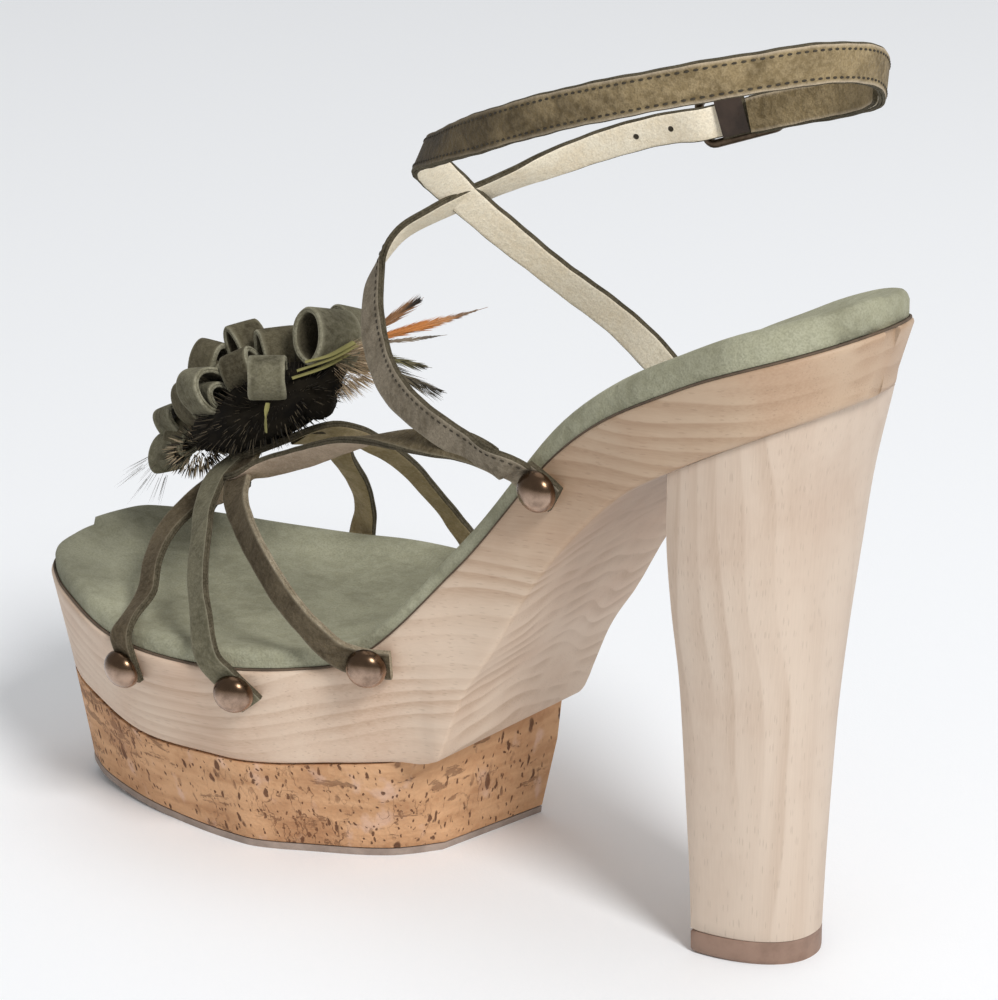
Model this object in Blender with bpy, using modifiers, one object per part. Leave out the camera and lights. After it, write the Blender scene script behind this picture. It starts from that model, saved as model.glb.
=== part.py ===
# Platform sandal for the right foot: wooden base and heel, cork platform, suede straps,
# a rosette of suede loops and a bunch of feathers.
# Metres, +Z up, toe towards -X, heel towards +X, lateral side towards +Y.
import math

import bmesh
import bpy
import numpy as np

# Driving sizes
sandal_length = 0.2095
ball_width = 0.0805
seat_height = 0.1356
toe_along = -0.0535
strap_thickness = 0.0016
outsole_thickness = 0.0015
heel_tip_height = 0.0065
toe_spring = 0.0045
level_from_along = 0.235
edge_round = 0.0010
stud_radius = 0.0044
stud_rise = 0.0040

# Clearances
bond_gap = 0.0003
strap_gap = 0.0005
sock_inset = 0.0010
stud_gap = 0.0003

# Plan outline, as shares of the sandal length and the ball width
outline_table = {
    "along": (0.004, 0.0143, 0.044, 0.0855, 0.187, 0.319, 0.441, 0.573, 0.695, 0.817, 0.919, 0.968, 0.990),
    "medial": (-0.143, -0.236, -0.312, -0.380, -0.486, -0.492, -0.366, -0.283, -0.282, -0.324, -0.298,
               -0.211, -0.118),
    "lateral": (0.044, 0.133, 0.205, 0.265, 0.410, 0.523, 0.475, 0.422, 0.386, 0.366, 0.324, 0.224, 0.130),
}
toe_tip_across = -0.051
seat_tip_across = 0.006

# Upper face of the wood, as shares of the sandal length and the seat height
top_table = {
    "along": (-0.02, 0.0855, 0.2075, 0.3, 0.35, 0.405, 0.4515, 0.5776, 0.7036, 0.8502, 1.0),
    "up": (0.379, 0.360, 0.337, 0.335, 0.337, 0.344, 0.360, 0.543, 0.765, 0.903, 0.99),
}

# Under face of the wood: level over the cork, steep behind it, then up the shank to the seat
under_table = {
    "along": (-0.02, 0.0855, 0.2075, 0.29, 0.349, 0.423, 0.492, 0.531, 0.5469, 0.5588, 0.5743,
              0.6177, 0.6533, 0.69, 0.7308, 0.785, 0.8305, 0.982, 1.02),
    "up": (0.199, 0.184, 0.161, 0.163, 0.1665, 0.1785, 0.195, 0.205, 0.222, 0.265, 0.321, 0.423,
           0.513, 0.589, 0.656, 0.729, 0.771, 0.884, 0.908),
}

# How far the lower edge of each wall stands in from the upper edge, as shares of the ball width
wood_inset_table = {
    "along": (0.0, 0.05, 0.187, 0.293, 0.349, 0.395, 0.441, 0.46, 0.478, 0.501, 0.529, 0.548, 0.58,
              0.677, 0.815, 0.931, 1.0),
    "medial": (0.046, 0.058, 0.087, 0.093, 0.075, 0.06, 0.060, 0.058, 0.060, 0.062, 0.055, 0.040, 0.025,
               0.019, 0.015, 0.025, 0.045),
    "lateral": (0.046, 0.058, 0.078, 0.075, 0.075, 0.075, 0.075, 0.071, 0.067, 0.06, 0.05, 0.04,
                0.025, 0.019, 0.015, 0.025, 0.045),
}
cork_inset_table = {
    "along": (0.0, 0.05, 0.187, 0.293, 0.349, 0.395, 0.441, 0.46, 0.478, 0.495, 0.515, 0.54),
    "medial_upper": (0.049, 0.061, 0.091, 0.097, 0.078, 0.064, 0.065, 0.065, 0.068, 0.080, 0.120, 0.180),
    "medial_lower": (0.088, 0.110, 0.178, 0.172, 0.160, 0.160, 0.170, 0.184, 0.205, 0.240, 0.295, 0.345),
    "lateral_upper": (0.049, 0.061, 0.081, 0.078, 0.078, 0.078, 0.078, 0.076, 0.073, 0.07, 0.07, 0.07),
    "lateral_lower": (0.088, 0.105, 0.14, 0.133, 0.13, 0.13, 0.13, 0.128, 0.125, 0.122, 0.12, 0.12),
}

# Suede sock: thin in the forefoot, a padded rim round the heel, as shares of the seat height
sock_table = {
    "along": (-0.02, 0.38, 0.48, 0.58, 0.70, 0.82, 1.02),
    "medial_rim": (0.0300, 0.0290, 0.0290, 0.0370, 0.0450, 0.0480, 0.0500),
    "lateral_rim": (0.0370, 0.0330, 0.0290, 0.0310, 0.0360, 0.0380, 0.0460),
    "middle": (0.0200, 0.0200, 0.0200, 0.0200, 0.0210, 0.0220, 0.0240),
}

# Rise of the rim against the distance from the edge, both as shares of the rim, and the steps across
sock_profile = {
    "away": (0.0, 0.16, 0.449, 0.451, 0.9, 1.9, 3.4),
    "rise": (0.62, 0.86, 1.0, 1.0, 0.93, 0.45, 0.0),
}
sock_steps = ((0.0, 0.0), (0.16, 0.10), (0.45, 0.22), (0.9, 0.36), (1.9, 0.55), (3.2, 0.78))

# Straight cut at the back of the platform
cut_along = 0.4931
cut_across = 0.10
cut_slant = math.radians(9.0)
cut_lean = 3.5 / 24.0

# Heel: D section, from the tip to the seat
heel_breast_along = 0.8280
heel_table = {
    "up": (0.0, 0.12, 0.27, 0.42, 0.57, 0.72, 0.86, 1.0),
    "medial": (0.167, 0.178, 0.199, 0.220, 0.245, 0.284, 0.309, 0.311),
    "lateral": (0.167, 0.180, 0.204, 0.228, 0.258, 0.303, 0.335, 0.345),
    "depth": (0.1015, 0.1020, 0.1025, 0.1040, 0.1085, 0.1135, 0.1195, 0.1370),
    "squareness": (2.2, 2.2, 2.25, 2.3, 2.35, 2.4, 2.5, 2.6),
}

# Axis of the foot and leg; straps face away from it
foot_axis_table = {
    "along": (0.0373, 0.1923, 0.3162, 0.4298, 0.5435, 0.6674, 0.7087, 0.7087),
    "across": (0.0, 0.0, 0.02, 0.03, 0.03, 0.02, 0.0, 0.0),
    "up": (0.38, 0.42, 0.48, 0.60, 0.76, 0.95, 1.18, 1.60),
}

# Straps: wall anchors (side, along, drop of the stud, lean along, gap to the wall) and the free run
strap_tables = {
    "toe_medial": {
        "width": 0.0060,
        "from_wall": ("medial", 0.218, 0.0030, 0.0, strap_gap),
        "along": (0.2070, 0.1900, 0.1780, 0.1790, 0.1964, 0.215),
        "across": (-0.388, -0.311, -0.211, -0.130, -0.062, -0.025),
        "up": (0.408, 0.444, 0.478, 0.503, 0.544, 0.578),
    },
    "ball_medial": {
        "width": 0.0062,
        "from_wall": ("medial", 0.353, 0.0033, 0.012, strap_gap),
        "along": (0.3111, 0.2883, 0.2584, 0.2274, 0.2119, 0.2171),
        "across": (-0.474, -0.416, -0.311, -0.199, -0.099, -0.031),
        "up": (0.421, 0.461, 0.507, 0.534, 0.561, 0.581),
    },
    "waist_medial": {
        "width": 0.0066,
        "from_wall": ("medial", 0.490, 0.0028, 0.014, 2.8 * strap_gap),
        "along": (0.436, 0.404, 0.3648, 0.3121, 0.2604, 0.2336, 0.2222),
        "across": (-0.425, -0.422, -0.385, -0.298, -0.174, -0.075, -0.012),
        "up": (0.433, 0.470, 0.507, 0.537, 0.555, 0.572, 0.585),
    },
    "over_lateral": {
        "width": 0.0062,
        "to_wall": ("lateral", 0.354, 0.0045, 0.0, strap_gap),
        "along": (0.215, 0.2418, 0.2759, 0.3142, 0.3296, 0.3379, 0.3379, 0.3389, 0.3431),
        "across": (-0.025, -0.012, 0.0, 0.037, 0.099, 0.174, 0.298, 0.410, 0.491),
        "up": (0.581, 0.599, 0.623, 0.647, 0.632, 0.603, 0.551, 0.484, 0.427),
    },
    "toe_lateral": {
        "width": 0.0062,
        "to_wall": ("lateral", 0.222, 0.0045, 0.0, strap_gap),
        "along": (0.2842, 0.2873, 0.2666, 0.2501, 0.2336),
        "across": (0.019, 0.099, 0.261, 0.373, 0.447),
        "up": (0.626, 0.614, 0.541, 0.476, 0.413),
    },
    "cross_vamp": {
        "width": 0.0062,
        "to_wall": ("lateral", 0.060, 0.0045, 0.0, strap_gap),
        "along": (0.6468, 0.6147, 0.5373, 0.4577, 0.3823, 0.3204, 0.2728, 0.2439, 0.1974, 0.1303, 0.0662),
        "across": (-0.329, -0.325, -0.298, -0.211, -0.124, -0.087, -0.094, -0.104, 0.010, 0.120, 0.244),
        "up": (0.742, 0.751, 0.734, 0.695, 0.646, 0.603, 0.575, 0.558, 0.520, 0.470, 0.408),
    },
    "ankle_medial": {
        "width": 0.0072,
        "from_wall": ("medial", 0.6922, 0.0056, 0.017, strap_gap),
        "along": (0.6612, 0.6147, 0.5652, 0.5104, 0.4536, 0.4144, 0.3958, 0.402, 0.4288, 0.4567, 0.5001, 0.5373, 0.5972, 0.6499, 0.686, 0.7201, 0.7521, 0.7903, 0.8286, 0.8616),
        "across": (-0.340, -0.335, -0.329, -0.286, -0.186, -0.087, 0.0, 0.062, 0.124, 0.199, 0.267, 0.311,
                   0.360, 0.385, 0.392, 0.432, 0.447, 0.446, 0.430, 0.404),
        "up": (0.738, 0.754, 0.777, 0.804, 0.841, 0.889, 0.934, 0.974, 1.006, 1.030, 1.063, 1.090, 1.128,
               1.154, 1.165, 1.180, 1.193, 1.213, 1.234, 1.251),
    },
    "ankle_lateral": {
        "width": 0.0078,
        "from_wall": ("lateral", 0.688, 0.0056, 0.012, strap_gap),
        "along": (0.6674, 0.654, 0.592, 0.5228, 0.4763, 0.4546, 0.4763, 0.5414, 0.623, 0.7346, 0.8337, 0.9112, 0.9484, 0.9494, 0.9153, 0.8523, 0.7903, 0.747),
        "across": (0.400, 0.366, 0.379, 0.360, 0.261, 0.124, -0.050, -0.199, -0.311, -0.379, -0.379, -0.273,
                   -0.105, 0.110, 0.275, 0.366, 0.385, 0.389),
        "up": (0.760, 0.790, 0.845, 0.901, 0.978, 1.051, 1.109, 1.159, 1.213, 1.275, 1.318, 1.345, 1.350,
               1.325, 1.275, 1.239, 1.211, 1.191),
    },
}

# Buckle on the lateral side of the ankle strap
buckle_centre = (0.732, 0.4200, 1.183)
buckle_run = (0.955, -0.020, 0.26)
buckle_length = 0.0215
buckle_width = 0.0128
buckle_bar = 0.0018
buckle_depth = 0.0016
prong_section = 0.0013

# Rosette core and its loops; axis is the way the strip's width runs
rosette_core_centre = (0.2553, -0.025, 0.674)
rosette_core_run = (0.88, 0.02, 0.47)
rosette_core_half = (0.0220, 0.0105, 0.0070)
rosette_reach = 0.86 * rosette_core_half[0]
rosette_bead = {"along": 0.3235, "across": -0.025, "up": 0.700, "radius": 0.0034}
rosette_table = (
    {"at": (0.1964, -0.110, 0.700), "axis": (0.97, -0.10, 0.20), "reach": 0.0110, "rise": 0.0090, "width": 0.0088},
    {"at": (0.2987, -0.149, 0.746), "axis": (0.79, 0.61, 0.0), "reach": 0.0120, "rise": 0.0092, "width": 0.0076},
    {"at": (0.2067, 0.040, 0.752), "axis": (0.79, 0.50, -0.10), "reach": 0.0130, "rise": 0.0068, "width": 0.0072},
    {"at": (0.1737, 0.000, 0.716), "axis": (0.50, -0.80, 0.30), "reach": 0.0140, "rise": 0.0080, "width": 0.0080},
    {"at": (0.2501, 0.020, 0.764), "axis": (0.85, 0.45, 0.10), "reach": 0.0120, "rise": 0.0066, "width": 0.0078},
    {"at": (0.3142, 0.020, 0.798), "axis": (-0.34, -0.86, 0.15), "reach": 0.0130, "rise": 0.0096, "width": 0.0110},
    {"at": (0.121, -0.040, 0.608), "axis": (0.52, -0.80, 0.31), "reach": 0.0120, "rise": 0.0074, "width": 0.0072},
    {"at": (0.1179, -0.075, 0.552), "axis": (0.62, -0.75, 0.10), "reach": 0.0130, "rise": 0.0074, "width": 0.0066},
    {"at": (0.1406, 0.090, 0.640), "axis": (0.55, 0.75, 0.30), "reach": 0.0120, "rise": 0.0080, "width": 0.0078},
    {"at": (0.2233, 0.150, 0.715), "axis": (0.92, 0.10, 0.35), "reach": 0.0130, "rise": 0.0088, "width": 0.0084},
    {"at": (0.2956, 0.150, 0.760), "axis": (0.60, -0.45, 0.60), "reach": 0.0120, "rise": 0.0080, "width": 0.0078},
)
loop_thickness = 0.0013

# Feathers: root and tip of each blade
feather_root = (0.3596, 0.075, 0.768)
feather_table = (
    {"tip": (0.4278, 0.373, 0.821), "width": 0.0034, "bow": 0.0016},
    {"tip": (0.3906, 0.240, 0.850), "width": 0.0040, "bow": 0.0010},
    {"tip": (0.3947, 0.298, 0.777), "width": 0.0022, "bow": 0.0008},
    {"tip": (0.3865, 0.323, 0.674), "width": 0.0044, "bow": 0.0022},
    {"tip": (0.3493, 0.300, 0.805), "width": 0.0038, "bow": -0.0014},
)
feather_thickness = 0.0008


# Interpolation through table rows
def tangents_of(knots, values, closed=False):
    knots = np.asarray(knots, float)
    values = np.asarray(values, float)
    slopes = np.diff(values, axis=0) / np.diff(knots)[(slice(None),) + (None,) * (values.ndim - 1)]
    gaps = np.diff(knots)
    tangents = np.empty_like(values)
    for i in range(1, len(knots) - 1):
        tangents[i] = (slopes[i - 1] * gaps[i] + slopes[i] * gaps[i - 1]) / (gaps[i - 1] + gaps[i])
    if closed:
        tangents[0] = (slopes[-1] * gaps[0] + slopes[0] * gaps[-1]) / (gaps[0] + gaps[-1])
        tangents[-1] = tangents[0]
    else:
        tangents[0] = slopes[0]
        tangents[-1] = slopes[-1]
    return tangents


def smooth_at(knots, values, where, closed=False):
    knots = np.asarray(knots, float)
    values = np.asarray(values, float)
    tangents = tangents_of(knots, values, closed)
    where = np.atleast_1d(np.clip(where, knots[0], knots[-1]))
    i = np.clip(np.searchsorted(knots, where, side="right") - 1, 0, len(knots) - 2)
    gap = knots[i + 1] - knots[i]
    t = (where - knots[i]) / gap
    shape = (slice(None),) + (None,) * (values.ndim - 1)
    t = t[shape]
    gap = gap[shape]
    return (
        (2 * t**3 - 3 * t**2 + 1) * values[i]
        + (t**3 - 2 * t**2 + t) * gap * tangents[i]
        + (3 * t**2 - 2 * t**3) * values[i + 1]
        + (t**3 - t**2) * gap * tangents[i + 1]
    )


def tangent_along(knots, path, where):
    near = 1e-4 * knots[-1]
    return smooth_at(knots, path, where + near) - smooth_at(knots, path, where - near)


def column_at(table, column, share):
    return float(smooth_at(table["along"], table[column], share)[0])


def place(along, across, up):
    return np.array((toe_along + along * sandal_length, across * ball_width, up * seat_height))


def unit(vector):
    vector = np.asarray(vector, float)
    return vector / np.linalg.norm(vector)


# Plan outline as a closed smooth curve, then read back at chosen shares along
def outline_sides():
    medial = [(a, m) for a, m in zip(outline_table["along"], outline_table["medial"])]
    lateral = [(a, l) for a, l in zip(outline_table["along"], outline_table["lateral"])]
    loop = [(0.0, toe_tip_across)] + medial + [(1.0, seat_tip_across)] + lateral[::-1]
    loop = np.array(loop + loop[:1]) * (sandal_length, ball_width)
    knots = np.concatenate(([0.0], np.cumsum(np.sqrt(np.linalg.norm(np.diff(loop, axis=0), axis=1)))))
    middle = len(medial) + 1
    sides = {}
    for side, first, last in (("medial", 0, middle), ("lateral", middle, len(loop) - 1)):
        points = smooth_at(knots, loop, np.linspace(knots[first], knots[last], 600), closed=True)
        sides[side] = points if side == "medial" else points[::-1]
    return sides


outline = outline_sides()


def edge_at(side, share):
    # Point of the upper edge and the inward unit normal in plan
    points = outline[side]
    order = np.maximum.accumulate(points[:, 0])
    x = share * sandal_length
    y = float(np.interp(x, order, points[:, 1]))
    i = int(np.clip(np.searchsorted(order, x), 3, len(points) - 4))
    run = unit(points[i + 3] - points[i - 3])
    inward = np.array((-run[1], run[0])) if side == "medial" else np.array((run[1], -run[0]))
    return np.array((x, y)), inward


def top_up(x):
    return column_at(top_table, "up", x / sandal_length) * seat_height


def under_up(x):
    return column_at(under_table, "up", x / sandal_length) * seat_height


def ground_up(x):
    # The sole is level up to the flat spot and rises towards the toe
    flat_from = level_from_along * sandal_length
    return toe_spring * max(0.0, (flat_from - x) / flat_from) ** 2


def wall_point(side, share, drop):
    # Point of the wood's wall below the upper edge, and the way the wall faces
    edge, inward = edge_at(side, share)
    inset = column_at(wood_inset_table, side, share) * ball_width
    height = top_up(edge[0]) - under_up(edge[0])
    at = edge + inward * inset * drop / height
    facing = unit((-inward[0] * height, -inward[1] * height, -inset))
    return np.array((toe_along + at[0], at[1], top_up(edge[0]) - drop)), facing


# Collections
def new_collection(name, hidden=False):
    collection = bpy.data.collections.new(name)
    bpy.context.scene.collection.children.link(collection)
    collection.hide_render = hidden
    return collection


for old in list(bpy.data.objects):
    bpy.data.objects.remove(old)
parts = new_collection("platform_sandal")
helpers = new_collection("cutters", hidden=True)
strap_pieces = new_collection("strap_pieces", hidden=True)
loop_pieces = new_collection("loop_pieces", hidden=True)
blade_pieces = new_collection("blade_pieces", hidden=True)


def material_of(name, colour, roughness, metallic=0.0):
    material = bpy.data.materials.new(name)
    material.use_nodes = True
    shader = material.node_tree.nodes["Principled BSDF"]
    shader.inputs["Base Color"].default_value = (*colour, 1.0)
    shader.inputs["Roughness"].default_value = roughness
    shader.inputs["Metallic"].default_value = metallic
    material.diffuse_color = (*colour, 1.0)
    return material


def mesh_object(name, points, faces, material=None, collection=None):
    mesh = bpy.data.meshes.new(name)
    mesh.from_pydata([tuple(p) for p in points], [], faces)
    shape = bmesh.new()
    shape.from_mesh(mesh)
    bmesh.ops.remove_doubles(shape, verts=shape.verts, dist=1e-7)
    bmesh.ops.recalc_face_normals(shape, faces=shape.faces)
    shape.to_mesh(mesh)
    shape.free()
    made = bpy.data.objects.new(name, mesh)
    if material:
        mesh.materials.append(material)
    if collection is None:
        collection = parts
    else:
        made.hide_render = True
        made.display_type = "WIRE"
    collection.objects.link(made)
    return made


def loft(name, rings, material=None, collection=None, closed=False):
    # Sections of equal point count, joined in order; open lofts are capped
    count = len(rings)
    around = len(rings[0])
    points = [p for ring in rings for p in ring]
    faces = []
    for i in range(count if closed else count - 1):
        a = i * around
        b = ((i + 1) % count) * around
        for j in range(around):
            k = (j + 1) % around
            faces.append((a + j, a + k, b + k, b + j))
    if not closed:
        faces.append(tuple(range(around))[::-1])
        faces.append(tuple((count - 1) * around + j for j in range(around)))
    return mesh_object(name, points, faces, material, collection)


def boolean(target, operation, other=None, collection=None):
    modifier = target.modifiers.new(operation.lower(), "BOOLEAN")
    modifier.operation = operation
    modifier.solver = "EXACT"
    if collection:
        modifier.operand_type = "COLLECTION"
        modifier.collection = collection
    else:
        modifier.object = other
    return modifier


def shares_between(first, last, count, extra=()):
    # Closer together at both ends
    even = 0.5 - 0.5 * np.cos(np.linspace(0.0, math.pi, count))
    return np.unique(np.round(np.concatenate((first + (last - first) * even, extra)), 5))


# Wooden base
def wood_side(side, share):
    edge, inward = edge_at(side, share)
    inset = column_at(wood_inset_table, side, share) * ball_width
    upper = [(edge + inward * edge_round, 0.0), (edge, edge_round)]
    rows = [(at[0], at[1], top_up(at[0]) - drop) for at, drop in upper]
    low = edge + inward * inset
    lower_wall = np.array((low[0], low[1], under_up(low[0]) + edge_round))
    low_in = edge + inward * (inset + edge_round)
    lower = np.array((low_in[0], low_in[1], under_up(low_in[0])))
    wall = np.array(rows[1])
    return [np.array(rows[0]), wall, wall * 0.5 + lower_wall * 0.5, lower_wall, lower]


def across_rows(first, last, height, count=2):
    made = []
    for k in range(1, count + 1):
        at = first + (last - first) * k / (count + 1)
        made.append(np.array((at[0], at[1], height(at[0]))))
    return made


wood = material_of("pale_wood", (0.62, 0.47, 0.34), 0.55)
heel_wood = material_of("heel_wood", (0.66, 0.53, 0.40), 0.5)
cork = material_of("cork", (0.56, 0.33, 0.17), 0.8)
outsole_rubber = material_of("outsole_rubber", (0.16, 0.13, 0.11), 0.8)
tip_rubber = material_of("tip_rubber", (0.22, 0.14, 0.10), 0.6)
sock_suede = material_of("sock_suede", (0.20, 0.21, 0.14), 0.95)
strap_suede = material_of("strap_suede", (0.13, 0.115, 0.06), 0.9)
rosette_suede = material_of("rosette_suede", (0.12, 0.11, 0.07), 0.95)
stud_brass = material_of("stud_brass", (0.32, 0.22, 0.14), 0.28, 1.0)
buckle_bronze = material_of("buckle_bronze", (0.09, 0.06, 0.04), 0.4, 1.0)
chape_leather = material_of("chape_leather", (0.05, 0.03, 0.02), 0.7)
feather_tan = material_of("feather_tan", (0.38, 0.16, 0.05), 0.8)

shift = np.array((toe_along, 0.0, 0.0))
wood_shares = shares_between(0.0008, 0.9992, 40, (0.535, 0.545, 0.555, 0.57, 0.59))
wood_rings = []
for share in wood_shares:
    medial = wood_side("medial", share)
    lateral = wood_side("lateral", share)
    ring = medial[::-1] + across_rows(medial[0], lateral[0], top_up) + lateral
    ring += across_rows(lateral[-1], medial[-1], under_up)
    wood_rings.append([p + shift for p in ring])
loft("wood_base", wood_rings, wood)

# Suede sock on the wood: its rim follows the distance from the edge, so it runs on round the heel
outline_loop = np.concatenate((outline["medial"], outline["lateral"][::-1]))


def edge_distance(at):
    return float(np.min(np.linalg.norm(outline_loop - at, axis=1)))


def sock_rise(at, side, share):
    rim = column_at(sock_table, side + "_rim", share) * seat_height
    middle = column_at(sock_table, "middle", share) * seat_height
    away = max(0.0, edge_distance(at) - sock_inset)
    shape = np.interp(away / rim, sock_profile["away"], sock_profile["rise"])
    return middle + (rim - middle) * shape if away > 0.45 * rim else rim * shape


sock_rings = []
for share in shares_between(0.006, 0.994, 40):
    rim = column_at(sock_table, "medial_rim", share) * seat_height
    medial_edge, medial_in = edge_at("medial", share)
    lateral_edge, lateral_in = edge_at("lateral", share)
    medial = medial_edge + medial_in * sock_inset
    lateral = lateral_edge + lateral_in * sock_inset
    half = np.linalg.norm(lateral - medial) / 2
    steps = [min(away * rim, most * half) / (2 * half) for away, most in sock_steps]
    across = steps + [0.5] + [1.0 - step for step in reversed(steps)]
    top = []
    for step in across:
        at = medial + (lateral - medial) * step
        side = "medial" if step < 0.5 else "lateral"
        top.append(np.array((at[0], at[1], top_up(at[0]) + bond_gap + sock_rise(at, side, share))))
    first, last = (np.array((at[0], at[1], top_up(at[0]) + bond_gap)) for at in (medial, lateral))
    ring = [first] + top + [last] + across_rows(last, first, lambda x: top_up(x) + bond_gap)
    sock_rings.append([p + shift for p in ring])
loft("insole", sock_rings, sock_suede)


# Cork platform and outsole, cut straight across at the back
def platform_side(side, share, level):
    edge, inward = edge_at(side, share)
    upper = column_at(cork_inset_table, side + "_upper", share) * ball_width
    lower = column_at(cork_inset_table, side + "_lower", share) * ball_width
    return edge + inward * (upper + (lower - upper) * level)


def cork_upper(x):
    return under_up(x) - bond_gap


def cork_lower(x):
    return ground_up(x) + outsole_thickness + bond_gap


def platform_rings(shares, levels, upper, lower):
    rings = []
    for share in shares:
        columns = {}
        for side in ("medial", "lateral"):
            rows = []
            for level, height in levels:
                at = platform_side(side, share, level)
                z = lower(at[0]) + (upper(at[0]) - lower(at[0])) * height
                rows.append(np.array((at[0], at[1], z)))
            columns[side] = rows
        ring = columns["medial"][::-1] + across_rows(columns["medial"][0], columns["lateral"][0], upper)
        ring += columns["lateral"]
        ring += across_rows(columns["lateral"][-1], columns["medial"][-1], lower)
        rings.append([p + shift for p in ring])
    return rings


platform_shares = shares_between(0.0008, 0.526, 26)
cork_object = loft(
    "cork_platform",
    platform_rings(platform_shares, ((0.0, 1.0), (0.5, 0.5), (1.0, 0.0)), cork_upper, cork_lower),
    cork,
)
outsole_object = loft(
    "outsole",
    platform_rings(
        platform_shares,
        ((1.0, 1.0), (1.0, 0.0)),
        lambda x: ground_up(x) + outsole_thickness,
        ground_up,
    ),
    outsole_rubber,
)

cut_reach = sandal_length
cut_base = np.array((toe_along + cut_along * sandal_length, cut_across * ball_width, 0.0))
cut_side = np.array((math.sin(cut_slant), math.cos(cut_slant), 0.0)) * ball_width
cut_rise = np.array((cut_lean, 0.0, 1.0)) * 0.4 * seat_height
cutter_rings = []
for along in (0.0, 1.0):
    corners = []
    for across, up in ((-1, -1), (1, -1), (1, 1), (-1, 1)):
        corners.append(cut_base + np.array((along * cut_reach, 0.0, 0.0)) + cut_side * across + cut_rise * up)
    cutter_rings.append(corners)
back_cutter = loft("back_cutter", cutter_rings, collection=helpers)
boolean(cork_object, "DIFFERENCE", back_cutter)
boolean(outsole_object, "DIFFERENCE", back_cutter)


# Heel and its tip
def heel_row(up, column):
    return float(smooth_at(heel_table["up"], heel_table[column], up)[0])


def heel_ring(up, shrink=0.0, steps=9):
    # Plan points of the D section: flat breast, rounded corners, curved back
    medial = heel_row(up, "medial") * ball_width - shrink
    lateral = heel_row(up, "lateral") * ball_width - shrink
    depth = heel_row(up, "depth") * sandal_length - shrink
    power = 2.0 / heel_row(up, "squareness")
    breast = heel_breast_along * sandal_length + shrink
    centre = 0.002 * up
    points = [(0.0, centre - medial + edge_round)]
    for k in range(1, 2 * steps):
        angle = -math.pi / 2 + math.pi * k / (2 * steps)
        half = lateral if angle > 0 else medial
        away = math.copysign(abs(math.sin(angle)) ** power, angle) * half
        points.append((max(edge_round, math.cos(angle) ** power * depth), centre + away))
    points.append((0.0, centre + lateral - edge_round))
    return [np.array((breast + x, y)) for x, y in points]


heel_base = heel_tip_height + bond_gap
heel_rings = []
for up in np.linspace(0.0, 1.0, 13):
    ring = []
    for at in heel_ring(up):
        top = under_up(at[0]) - bond_gap
        ring.append(np.array((toe_along + at[0], at[1], heel_base + up * (top - heel_base))))
    heel_rings.append(ring)
loft("heel", heel_rings, heel_wood)

tip_rings = []
for z, shrink in ((0.0, 0.0006), (0.0006, 0.0), (heel_tip_height, 0.0)):
    tip_rings.append([np.array((toe_along + at[0], at[1], z)) for at in heel_ring(0.0, shrink)])
loft("heel_tip", tip_rings, tip_rubber)

# Straps
axis_points = np.array([place(*row) for row in zip(*(foot_axis_table[c] for c in ("along", "across", "up")))])


def away_from_axis(point):
    best = None
    for a, b in zip(axis_points[:-1], axis_points[1:]):
        t = np.clip(np.dot(point - a, b - a) / np.dot(b - a, b - a), 0.0, 1.0)
        offset = point - (a + (b - a) * t)
        if best is None or np.linalg.norm(offset) < np.linalg.norm(best):
            best = offset
    return unit(best)


def anchor_rows(anchor):
    # From the strap end, past the stud, to just under the upper edge
    side, share, drop, lean, gap = anchor
    rows = []
    for down in (drop + 0.0044, drop, 0.45 * drop, 0.0, -0.0022):
        at, facing = wall_point(side, share + lean * (down - drop) / drop, down)
        rows.append((at + facing * (gap + strap_thickness / 2), facing))
    return rows


def strap_rows(table):
    rows = []
    free = [place(*row) for row in zip(table["along"], table["across"], table["up"])]
    if "from_wall" in table:
        rows += anchor_rows(table["from_wall"])
    rows += [(p, away_from_axis(p)) for p in free]
    if "to_wall" in table:
        rows += anchor_rows(table["to_wall"])[::-1]
    return rows


strap_frames = []


def sweep(name, rows, width, thickness, step, collection=None, material=None):
    # Flat strip with eased corners along a smooth path; each row is a point and the way it faces
    path = np.array([r[0] for r in rows])
    ways = np.array([r[1] for r in rows])
    knots = np.concatenate(([0.0], np.cumsum(np.linalg.norm(np.diff(path, axis=0), axis=1))))
    where = [0.0]
    for low, high in zip(knots[:-1], knots[1:]):
        where += list(np.linspace(low, high, max(1, int(round((high - low) / step))) + 1)[1:])
    where = np.array(where)
    points = smooth_at(knots, path, where)
    facing = smooth_at(knots, ways, where)
    runs = tangent_along(knots, path, where)
    ease = 0.28 * thickness
    section = (
        (-width / 2 + ease, -thickness / 2),
        (width / 2 - ease, -thickness / 2),
        (width / 2, -thickness / 2 + ease),
        (width / 2, thickness / 2 - ease),
        (width / 2 - ease, thickness / 2),
        (-width / 2 + ease, thickness / 2),
        (-width / 2, thickness / 2 - ease),
        (-width / 2, -thickness / 2 + ease),
    )
    rings = []
    for point, way, run in zip(points, facing, runs):
        run = unit(run)
        way = unit(way - run * np.dot(way, run))
        side = np.cross(run, way)
        rings.append([point + side * u + way * v for u, v in section])
        strap_frames.append((point, way))
    return loft(name, rings, material, collection)


strap_step = 0.0049
first_strap = None
for name, table in strap_tables.items():
    rows = strap_rows(table)
    if first_strap is None:
        first_strap = sweep("upper_straps", rows, table["width"], strap_thickness, strap_step, None, strap_suede)
    else:
        sweep("strap_" + name, rows, table["width"], strap_thickness, strap_step, strap_pieces)
boolean(first_strap, "UNION", collection=strap_pieces)


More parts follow.
